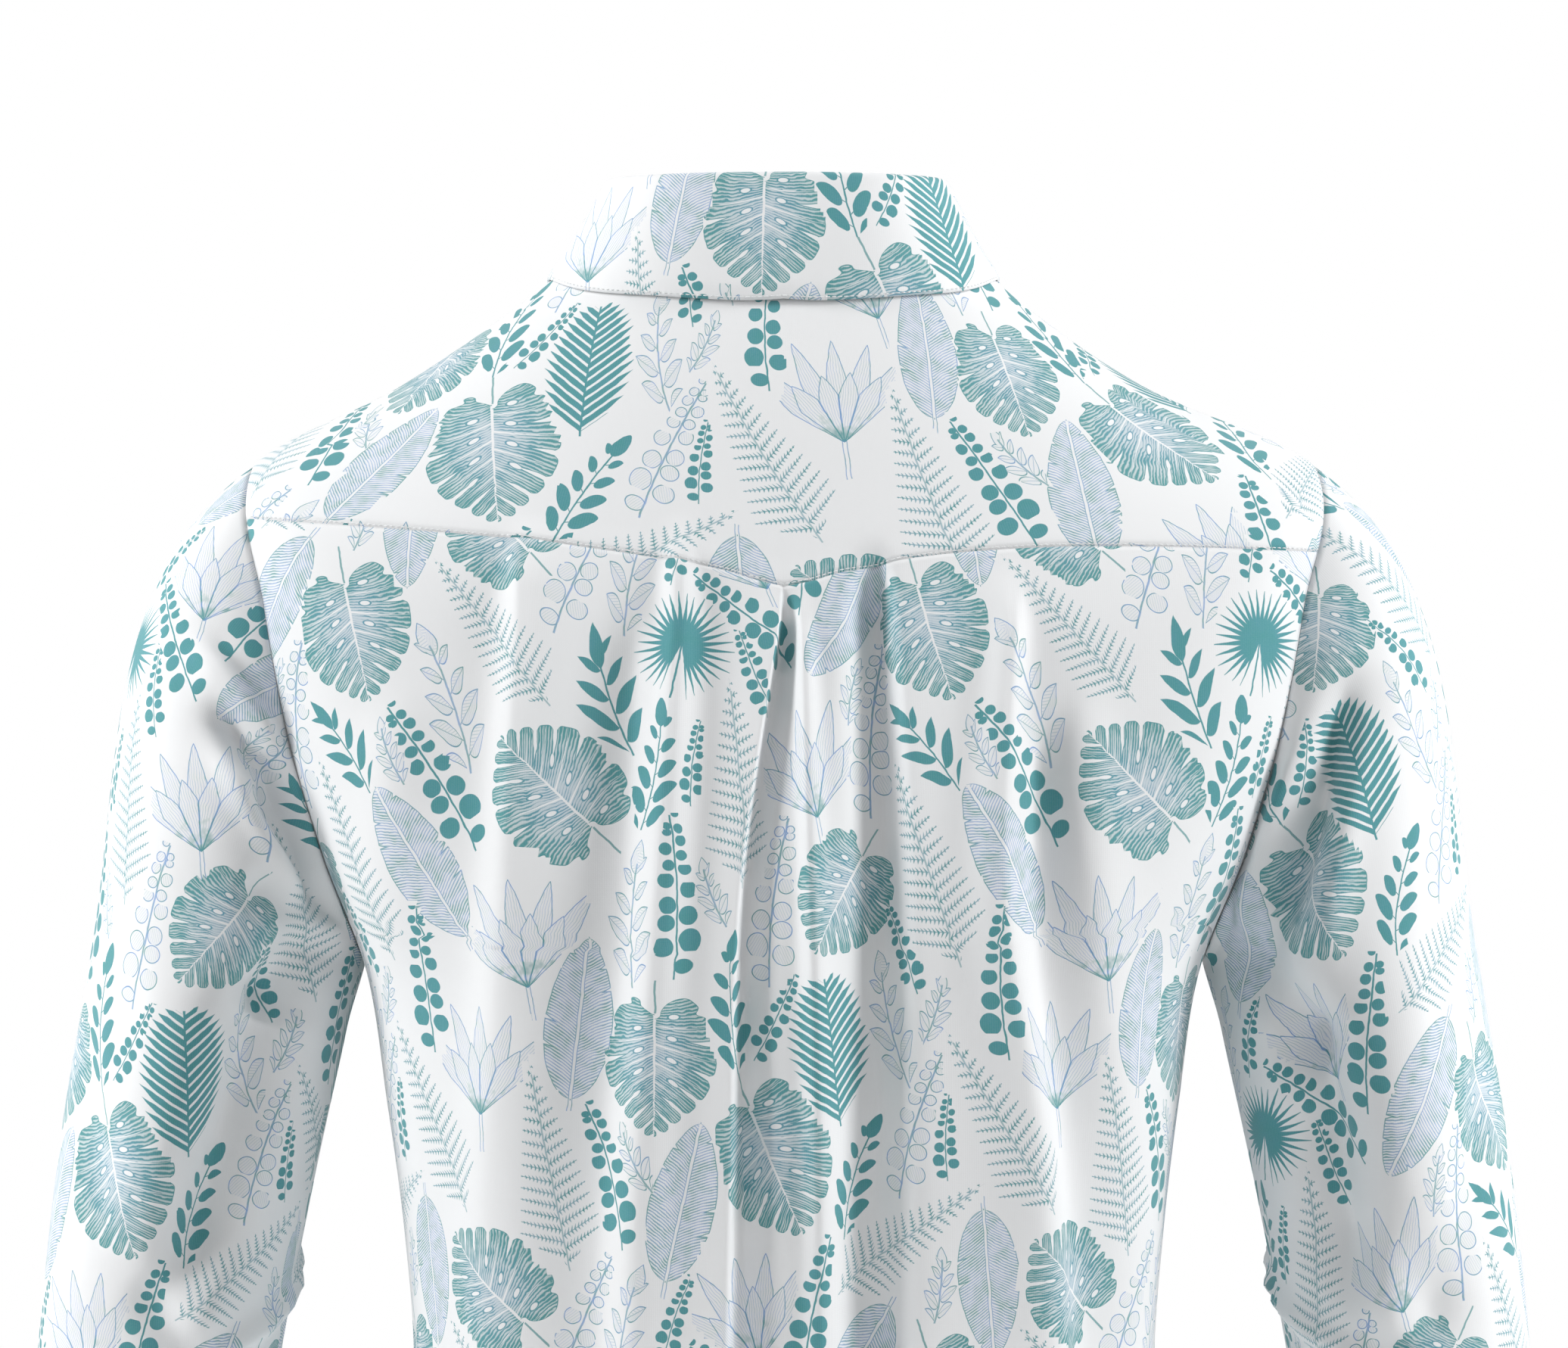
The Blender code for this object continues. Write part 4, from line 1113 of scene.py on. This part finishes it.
SLEEVE_FOLD_ROWS = (    # angle_top, along_top, angle_low, along_low, height, width in degrees
    (265, 0.25, 320, 1.6, 0.0060, 15),
    (232, 0.45, 292, 2.1, -0.0060, 14),
    (210, 0.60, 268, 2.5, 0.0050, 13),
    (285, 1.30, 338, 2.6, -0.0050, 15),
    (250, 2.10, 330, 3.3, 0.0055, 15),
    (205, 2.30, 300, 3.7, -0.0055, 16),
    (230, 3.00, 310, 4.6, 0.0045, 15),
    (20, 1.20, 60, 2.4, -0.0040, 14),
    (350, 1.60, 25, 3.2, 0.0045, 13),
)
# The drags seen from behind: out from the body and up at both ends, height, width above and below the line.
DRAG_ROWS = {
    1: (
        ((0.2350, -0.1380), (0.1960, -0.1900), 0.0050, 0.0055, 0.010),
        ((0.2330, -0.1340), (0.2020, -0.1700), -0.0025, 0.005, 0.004),
        ((0.2300, -0.1640), (0.1830, -0.2140), -0.0130, 0.006, 0.008),
        ((0.2290, -0.1800), (0.1860, -0.2480), 0.0070, 0.0050, 0.006),
        ((0.2120, -0.1960), (0.1800, -0.2490), -0.0120, 0.007, 0.007),
        ((0.2170, -0.2360), (0.1830, -0.2520), -0.0070, 0.008, 0.007),
        ((0.1860, -0.2560), (0.2060, -0.2900), -0.0130, 0.013, 0.009),
        ((0.2010, -0.2700), (0.2400, -0.4000), -0.0185, 0.016, 0.013),
        ((0.2470, -0.2700), (0.2560, -0.3900), 0.0045, 0.016, 0.016),
        ((0.2100, -0.3300), (0.2420, -0.4300), 0.0050, 0.012, 0.009),
        ((0.2620, -0.4000), (0.2300, -0.4400), -0.0055, 0.008, 0.010),
        ((0.2850, -0.4300), (0.2400, -0.4800), 0.0050, 0.009, 0.010),
        ((0.2400, -0.4600), (0.2750, -0.5600), -0.0050, 0.012, 0.012),
    ),
    -1: (
        ((0.2300, -0.1560), (0.1930, -0.2580), -0.0170, 0.008, 0.011),
        ((0.2330, -0.1600), (0.2160, -0.2640), 0.0050, 0.010, 0.008),
        ((0.2110, -0.1780), (0.1810, -0.2540), 0.0055, 0.008, 0.008),
        ((0.1840, -0.2120), (0.1730, -0.2580), -0.0080, 0.009, 0.007),
        ((0.1800, -0.2560), (0.2130, -0.3100), -0.0140, 0.012, 0.011),
        ((0.2060, -0.2860), (0.2300, -0.4000), -0.0180, 0.014, 0.012),
        ((0.1890, -0.2800), (0.2120, -0.3350), 0.0050, 0.007, 0.008),
        ((0.2480, -0.2600), (0.2560, -0.3800), 0.0045, 0.016, 0.016),
        ((0.2230, -0.3500), (0.2620, -0.4450), 0.0050, 0.011, 0.010),
        ((0.2700, -0.4000), (0.2320, -0.4500), -0.0055, 0.009, 0.010),
        ((0.2480, -0.4700), (0.2800, -0.5700), -0.0050, 0.012, 0.012),
        ((0.2900, -0.4700), (0.2620, -0.6000), 0.0045, 0.012, 0.012),
    ),
}
LYING = 0.0003            # how far one piece lies over another at a seam
SLEEVE_HEAD_ROWS = 56
SLEEVE_LOWER_ROWS = 150


def sleeve_form(turn, along, side):
    """The sleeve before its folds: along is 0 at the armhole, 1 at the upper arm, then a row each.

    Below the upper arm it is a tube of ellipses on a bent centre line. Above it, each point follows a
    cubic curve from the armhole seam, which it leaves outwards, to the tube, which it meets smoothly.
    """
    turn, along = np.broadcast_arrays(turn, along)
    rows = np.maximum(along - 1, 0)
    size = {name: between_rows(values, rows) for name, values in SLEEVE.items()}
    middle = np.stack([size["x"], size["y"], size["z"]], axis=-1)
    above, below = (np.stack([between_rows(SLEEVE[name], rows + step) for name in ("x", "y", "z")], axis=-1)
                    for step in (-0.05, 0.05))
    down = unit(below - above)
    tilt = np.radians(size["tilt"])
    out = np.stack([np.cos(tilt), np.zeros(tilt.shape), np.sin(tilt)], axis=-1)
    behind = unit(np.cross(out, down))
    tube = (middle + (size["half_width"] * np.cos(turn))[..., None] * out
            + (size["half_depth"] * np.sin(turn))[..., None] * behind)
    mirror = np.array([side, 1, 1])
    angle, section = armhole(turn)
    seam = body(side * angle, section, LYING * (1 - np.cos(turn)) / 2) * mirror
    top, low = SLEEVE_HEAD_LEAN
    lean = low + (top - low) * (1 + np.cos(turn)) / 2
    first = np.stack([lean, SLEEVE_HEAD_PUFF * np.sin(turn), -np.sqrt(1 - lean**2)], axis=-1)
    length = SLEEVE_HEAD_REACH * np.linalg.norm(tube - seam, axis=-1, keepdims=True)
    part = np.clip(along, 0, 1)[..., None]
    rest = 1 - part
    head = (rest**3 * seam + 3 * rest**2 * part * (seam + length * unit(first))
            + 3 * rest * part**2 * (tube - length * down) + part**3 * tube)
    return np.where(along[..., None] < 1, head, tube) * mirror


def slanting_folds(turn, along):
    """Height of the folds that slant round a sleeve: bell curves across lines of turn and along."""
    total = np.zeros(turn.shape)
    for angle_top, along_top, angle_low, along_low, height, width in SLEEVE_FOLD_ROWS:
        fall = (along - along_top) / (along_low - along_top)
        away = np.degrees(turn) - (angle_top + (angle_low - angle_top) * fall)
        total = total + height * np.sin(math.pi * np.clip(fall, 0, 1)) * np.exp(-(away / width) ** 2)
    return total


def drag_folds(point, turn, side):
    """Height of the drags seen from behind, by each point's distance from their lines in that view."""
    x, z = side * point[..., 0], point[..., 2]
    behind = np.clip(1.6 * np.sin(turn), 0, 1)
    total = np.zeros(x.shape)
    for (x_start, z_start), (x_end, z_end), height, above, below in DRAG_ROWS[side]:
        run = np.array([x_end - x_start, z_end - z_start])
        length = math.hypot(*run)
        along = ((x - x_start) * run[0] + (z - z_start) * run[1]) / length
        away = ((x - x_start) * run[1] - (z - z_start) * run[0]) / length * -np.sign(run[0])
        share = along / length
        fade = smooth_step((share + 0.12) / 0.35) * smooth_step((1.12 - share) / 0.35)
        total = total + height * fade * np.exp(-((away / np.where(away > 0, above, below)) ** 2))
    return total * behind


def sleeve_points(side):
    """A sleeve as a lattice of rings from the armhole to the cuff."""
    back_turns = turns_down(yoke_corner(side), BACK_ARMHOLE_STEPS)
    front_turns = 2 * math.pi - turns_down(-SHOULDER_CORNER, FRONT_ARMHOLE_STEPS)[::-1]
    turn = np.concatenate([front_turns[:-1], over_turns(side), back_turns[1:-1]])
    lower = np.linspace(1, len(SLEEVE_ROWS), SLEEVE_LOWER_ROWS + 1)
    along = np.concatenate([np.linspace(0, 1, SLEEVE_HEAD_ROWS + 1), lower[1:]])
    turn, along = np.broadcast_arrays(turn, along[:, None])

    def form(turns, alongs):
        return sleeve_form(turns, alongs, side)

    normal = -side * outward(form, turn, along)
    plain = form(turn, along)
    free = smooth_step(along / 0.10) * smooth_step((len(SLEEVE_ROWS) - along) / 0.3)
    height = (slanting_folds(turn % (2 * math.pi), along) + drag_folds(plain, turn, side)) * free
    points = plain + height[..., None] * normal
    return points if side < 0 else points[:, ::-1]


for label, side, offset in (("left", 1, (210, 60)), ("right", -1, (60, 240))):
    sleeve_lattice = sewn_and_hemmed(sleeve_points(side), ("top",))
    cloth_piece(f"sleeve_tube_{label}", sleeve_lattice, f"sleeve_{label}", offset, closed=True)
    stitch_row(f"cuff_stitches_{label}", sleeve_lattice, "bottom", HEM_DEPTH)

# ---- The collar ----------------------------------------------------------------------------------------
# A turned-down knit collar: a stand sewn to the neckline, and a leaf that rolls over it and falls to the
# shoulders, edge-stitched all round.

FOLD_RING = (0.0680, 0.0515, 0.0580, 0.0520, -0.0680, -0.0280, 0.0030, 2.00)    # the collar's top fold
FOLD_ROLL = 0.0030        # radius of that fold
FOLD_DROP = 0.0020        # straight cloth inside the fold, down to the stand
FOLD_TURN = 165.0         # degrees of the roll that the leaf follows before it falls
STAND_GAP = 0.0015        # from the leaf's inner edge out to the stand's top
COLLAR_END = math.radians(177)      # the collar's ends, by angle from the centre back
LEAF_POINT = math.radians(150)      # and the points of its leaf
LEAF_EDGE_COLUMNS = ("angle", "section", "lift")
LEAF_EDGE_ROWS = (
    (0, 0.24, 0.0035),
    (45, 0.36, 0.0030),
    (70, 0.54, 0.0027),
    (90, 0.64, 0.0026),
    (120, 0.82, 0.0035),
    (150, 1.00, 0.0055),
)
LEAF_EDGE = dict(zip(LEAF_EDGE_COLUMNS, np.array(LEAF_EDGE_ROWS).T))
LEAF_BOW = 0.002          # bulge of the leaf half-way down
COLLAR_COLUMNS = 300
STAND_ROWS = 12
ROLL_ROWS = 12
LEAF_ROWS = 24
UP = np.array([0.0, 0.0, 1.0])


def collar_rings():
    """Angles round the collar, and at each the roll's centre line and the level direction out of the neck."""
    angle = np.linspace(-COLLAR_END, COLLAR_END, COLLAR_COLUMNS + 1)
    size = dict(zip(BODY_COLUMNS, FOLD_RING))
    step = 0.01
    run = ring(angle + step, size) - ring(angle - step, size)
    run[..., 2] = 0
    return angle, ring(angle, size) - FOLD_ROLL * UP, unit(np.cross(run, -UP))


def stand_points():
    """The collar stand: from the neck seam up to the inner side of the fold."""
    angle, middle, out = collar_rings()
    top = middle - (FOLD_ROLL - STAND_GAP) * out - FOLD_DROP * UP
    low = body(angle, 0.0) + LYING * UP
    return top + (low - top) * np.linspace(0, 1, STAND_ROWS + 1)[:, None, None]


def leaf_points():
    """The collar leaf: over the fold, then down and out to an edge that lies on the shoulders."""
    angle, middle, out = collar_rings()
    edge_angle = angle * LEAF_POINT / COLLAR_END
    degrees = np.degrees(np.abs(edge_angle))
    section = smooth_table(degrees, LEAF_EDGE["angle"], LEAF_EDGE["section"])
    lift = smooth_table(degrees, LEAF_EDGE["angle"], LEAF_EDGE["lift"])
    edge = body(edge_angle, section, lift)
    lattice = [middle - FOLD_ROLL * out - FOLD_DROP * UP]
    for turn in np.radians(np.linspace(0, FOLD_TURN, ROLL_ROWS)):
        lattice.append(middle - FOLD_ROLL * math.cos(turn) * out + FOLD_ROLL * math.sin(turn) * UP)
    start = lattice[-1]
    bow = (start + edge) / 2 + LEAF_BOW * (out + 0.4 * UP)
    for part in np.linspace(0, 1, LEAF_ROWS + 1)[1:]:
        lattice.append((1 - part) ** 2 * start + 2 * part * (1 - part) * bow + part**2 * edge)
    return np.array(lattice)


cloth_piece("collar_stand_band", stand_points(), "collar_stand")
LEAF_RELIEF = (-0.0014, -0.0007, -0.0003)    # the leaf's edge lies down on the shoulders
LEAF_STITCH_INSET = 0.0014

leaf_lattice = edge_relief(leaf_points(), "bottom", LEAF_RELIEF)
cloth_piece("collar_leaf_panel", leaf_lattice, "collar_leaf", (200, 150))
stitch_row("collar_edge_stitches", leaf_lattice, "bottom", LEAF_STITCH_INSET)
for edge in ("left", "right"):
    stitch_row(f"collar_end_stitches_{edge}", leaf_lattice[ROLL_ROWS + 1:], edge, LEAF_STITCH_INSET)

# ---- The placket ---------------------------------------------------------------------------------------
# Two strips of the same knit close the slit at the neck: a plain one let into it, and a printed one over
# it, top-stitched down both sides and across its foot. Three buttons hold them together.

STRIP_ROWS = 70
STRIP_COLUMNS = 15
UNDER_GAP = 0.0003        # from the slit's edges to the under strip
OVER_LAP = 0.0005         # of the over strip past the slit's edges, and below past its foot
OVER_FOOT = 0.003
OVER_LIFT = 0.0018
PLACKET_STITCH_INSET = 0.0022


def strip_points(width, bottom, lift):
    """A placket strip on the centre front, from the neckline down."""
    heights = np.linspace(PLACKET_TOP, bottom, STRIP_ROWS)
    sections = np.interp(-heights, -BODY["z_front"], np.arange(len(BODY_ROWS)))
    depths = -between_rows(BODY["y_front"], sections)
    across = np.linspace(-0.5, 0.5, STRIP_COLUMNS) * width
    angles = math.pi + np.arctan2(across, depths[:, None])
    return body(angles, sections[:, None], lift)


under_lattice = strip_points(PLACKET_WIDTH - 2 * UNDER_GAP, PLACKET_BOTTOM + UNDER_GAP, 0)
cloth_piece("placket_under_strip", under_lattice, "placket_under")
over_lattice = strip_points(PLACKET_WIDTH + 2 * OVER_LAP, PLACKET_BOTTOM - OVER_FOOT, OVER_LIFT)
cloth_piece("placket_over_strip", over_lattice, "placket_over", (30, 90))
for edge in ("left", "right", "bottom"):
    stitch_row(f"placket_stitches_{edge}", over_lattice, edge, PLACKET_STITCH_INSET)

# ---- The buttons ---------------------------------------------------------------------------------------
# Three small buttons of white plastic with a raised rim and four holes, each sewn through and fastened over
# a buttonhole in the placket's upper strip, which shows as two rows of close stitches.

BUTTON_RADIUS = 0.0056
BUTTON_THICK = 0.0026
BUTTON_LIFT = 0.0034      # of its middle, from the body's face
BUTTON_HEIGHTS = {"top": -0.078, "middle": -0.128, "low": -0.178}
HOLE_RADIUS = 0.00062
HOLE_PLACES = 0.00115     # of each hole across and up from the middle
HOLE_DEPTH = 0.0016
HOLE_EDGE = 0.00015       # over which a hole's wall falls
SEWN_HEIGHT = 0.0006      # of the threads' ends over the button's middle
SEWN_SPREAD = 0.00022     # from one thread to the next
BUTTONHOLE_LENGTH = 0.0145
BUTTONHOLE_HALF_WIDTH = 0.0009
BUTTONHOLE_MIDDLE = 0.0002    # from the buttonhole's middle line to where its stitches start
BUTTONHOLE_PITCH = 0.00042
BUTTON_PROFILE = (    # distance out and height, as shares of the radius and of half the thickness
    (0.00, 0.45), (0.55, 0.45), (0.66, 0.50), (0.74, 0.80), (0.82, 0.98), (0.90, 0.98), (0.97, 0.75),
    (1.00, 0.30), (1.00, -0.30), (0.95, -0.80), (0.86, -1.00), (0.00, -1.00),
)
FACE_END = 2              # the point of the profile where the sunk face ends
PROFILE_STEPS = 12        # from one point of the profile to the next
BUTTON_SIDES = 72
PLASTIC_SHADE = (0.70, 0.74, 0.75, 1)
PLASTIC_LIGHT = (0.88, 0.90, 0.89, 1)


def button_material():
    """White plastic with a faint pearly cloudiness."""
    made, tree, shader = new_finish("button_plastic")
    where = add_node(tree, "TexCoord").outputs["Object"]
    cloud = add_node(tree, "TexNoise", {"Vector": where, "Scale": 350, "Distortion": 2.5}).outputs["Fac"]
    gloss = add_node(tree, "MapRange", {"Value": cloud, "To Min": 0.22, "To Max": 0.42})
    feed(shader, {"Base Color": colour_between(tree, cloud, PLASTIC_SHADE, PLASTIC_LIGHT),
                  "Roughness": gloss.outputs["Result"], "Coat Weight": 0.4})
    return made


PLASTIC = button_material()


def button_points():
    """A button about the origin, facing up: its profile turned, with four round holes sunk into its face."""
    count = len(BUTTON_PROFILE)
    places = np.linspace(0, count - 1, PROFILE_STEPS * (count - 1) + 1)
    out, height = (np.interp(places, np.arange(count), column)[:, None] for column in zip(*BUTTON_PROFILE))
    turn = -np.linspace(0, 2 * math.pi, BUTTON_SIDES + 1)[:-1]
    x = BUTTON_RADIUS * out * np.cos(turn)
    y = BUTTON_RADIUS * out * np.sin(turn)
    to_hole = np.hypot(np.abs(x) - HOLE_PLACES, np.abs(y) - HOLE_PLACES)
    on_face = (places < FACE_END)[:, None]
    sunk = HOLE_DEPTH * on_face * smooth_step((HOLE_RADIUS - to_hole) / HOLE_EDGE + 0.5)
    return np.stack([x, y, BUTTON_THICK / 2 * height - sunk], axis=-1)


def sewing(name, ends, place, axes, radius, rise):
    """Lengths of thread between two lists of ends, which are given on a button's own axes."""
    starts, stops = (place + np.array(points) @ axes for points in ends)
    thread_piece(name, starts, stops, np.tile(axes[2], (len(starts), 1)), radius, rise)


for label, height in BUTTON_HEIGHTS.items():
    section = np.interp(-height, -BODY["z_front"], np.arange(len(BODY_ROWS)))
    angle = np.array([math.pi])
    place = body(angle, section, BUTTON_LIFT)[0]
    facing = outward(body_form, angle, np.array([section]))[0]
    upward = unit(UP - facing * facing[2])
    axes = np.stack([np.cross(upward, facing), upward, facing])
    turned = button_points()
    faces = lattice_faces(*turned.shape[:2], closed=True)
    button = mesh_piece(f"sewn_button_{label}", place + turned @ axes, faces, [PLASTIC])
    bm = bmesh.new()
    bm.from_mesh(button.data)
    bmesh.ops.remove_doubles(bm, verts=bm.verts[:], dist=0.000001)
    bm.to_mesh(button.data)
    bm.free()
    button.data.shade_smooth()
    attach(button, "root")
    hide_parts(f"button_{label}")
    strands = [(row, shift) for row in (-1, 1) for shift in (-SEWN_SPREAD, 0, SEWN_SPREAD)]
    ends = [[(side * HOLE_PLACES, row * HOLE_PLACES + shift, SEWN_HEIGHT) for row, shift in strands]
            for side in (-1, 1)]
    sewing(f"button_thread_{label}", ends, place, axes, radius=0.00014, rise=0.0002)
    rungs = np.arange(-BUTTONHOLE_LENGTH / 2, BUTTONHOLE_LENGTH / 2, BUTTONHOLE_PITCH)
    ends = [[(side * near, rung, OVER_LIFT - BUTTON_LIFT) for side in (-1, 1) for rung in rungs]
            for near in (BUTTONHOLE_MIDDLE, BUTTONHOLE_HALF_WIDTH)]
    sewing(f"buttonhole_stitches_{label}", ends, place, axes, radius=0.0002, rise=0.0001)

# ---- The studio ----------------------------------------------------------------------------------------
# The camera stands straight behind the shirt, at the height of the shoulder blades. Two large softboxes at
# its sides light the cloth across its folds, two more stand in front of the shirt, and the room is white.

CAMERA_DISTANCE = 4.0
CAMERA_HEIGHT = -0.151
CAMERA_LENS = 224.0      # millimetres, on a 36 mm wide frame
SOFTBOX_SIZE = (0.45, 1.6)
SOFTBOX_AIM = np.array([0, 0, -0.20])
SOFTBOXES = {"back": (1.70, 0.58, 0.65, 30), "front": (1.75, -0.85, 0.45, 15)}    # x at the left, y, z, watts
WHITE = (1, 1, 1, 1)
ROOM_LIGHT = 0.31
FLOOR_HEIGHT = -0.95
FLOOR_REACH = 3.4
FLOOR_SOLID_REACH = 0.7   # past which it thins out
FLOOR_SIDES = 96
FLOOR_GREY = (0.90, 0.90, 0.90, 1)
FLOOR_GLOW = 0.45         # lifts the floor to the room's white where the camera sees it


def softbox(name, place, power):
    """A rectangular area light that stands at a place and faces the shirt."""
    light = bpy.data.lights.new(name, "AREA")
    light.shape = "RECTANGLE"
    light.size, light.size_y = SOFTBOX_SIZE
    light.energy = power
    lamp = bpy.data.objects.new(name, light)
    lamp.location = place
    run = SOFTBOX_AIM - np.array(place)
    lamp.rotation_euler = (math.atan2(math.hypot(run[0], run[1]), -run[2]), 0, math.atan2(-run[0], run[1]))
    bpy.context.scene.collection.objects.link(lamp)


camera_data = bpy.data.cameras.new("camera")
camera_data.lens = CAMERA_LENS
camera_data.sensor_width = 36
camera = bpy.data.objects.new("camera", camera_data)
camera.location = (0, CAMERA_DISTANCE, CAMERA_HEIGHT)
camera.rotation_euler = (math.pi / 2, 0, math.pi)
bpy.context.scene.collection.objects.link(camera)
bpy.context.scene.camera = camera

for side in (1, -1):
    for label, (x, y, z, power) in SOFTBOXES.items():
        softbox(f"softbox_{label}_{side}", (x * side, y, z), power)

world = bpy.data.worlds.new("studio")
bpy.context.scene.world = world
world.use_nodes = True
room_tree = world.node_tree
room_tree.nodes.clear()
seen = add_node(room_tree, "Background", {"Color": WHITE}).outputs["Background"]
room = add_node(room_tree, "Background", {"Color": WHITE, "Strength": ROOM_LIGHT}).outputs["Background"]
camera_ray = add_node(room_tree, "LightPath").outputs["Is Camera Ray"]
choice = add_node(room_tree, "MixShader", {0: camera_ray, 1: room, 2: seen})
add_node(room_tree, "OutputWorld", {"Surface": choice.outputs["Shader"]})


def floor_finish():
    """Pale matt floor that thins out towards its rim, so that it has no edge against the white room."""
    made, tree, shader = new_finish("floor")
    glow = Field(add_node(tree, "LightPath").outputs["Is Camera Ray"]) * FLOOR_GLOW
    x, y = coordinates(add_node(tree, "TexCoord").outputs["Object"])
    left = held((FLOOR_REACH - far(x, y)) / (FLOOR_REACH - FLOOR_SOLID_REACH))
    feed(shader, {"Base Color": FLOOR_GREY, "Roughness": 0.9, "Emission Color": WHITE,
                  "Emission Strength": glow, "Alpha": left * left})
    return made


turn = np.linspace(0, 2 * math.pi, FLOOR_SIDES + 1)[:-1]
rim = np.stack([FLOOR_REACH * np.cos(turn), FLOOR_REACH * np.sin(turn),
                np.full(FLOOR_SIDES, FLOOR_HEIGHT)], axis=-1)
floor = mesh_piece("floor", rim, np.arange(FLOOR_SIDES)[None, :], [floor_finish()])

bpy.context.scene.view_settings.view_transform = "Standard"
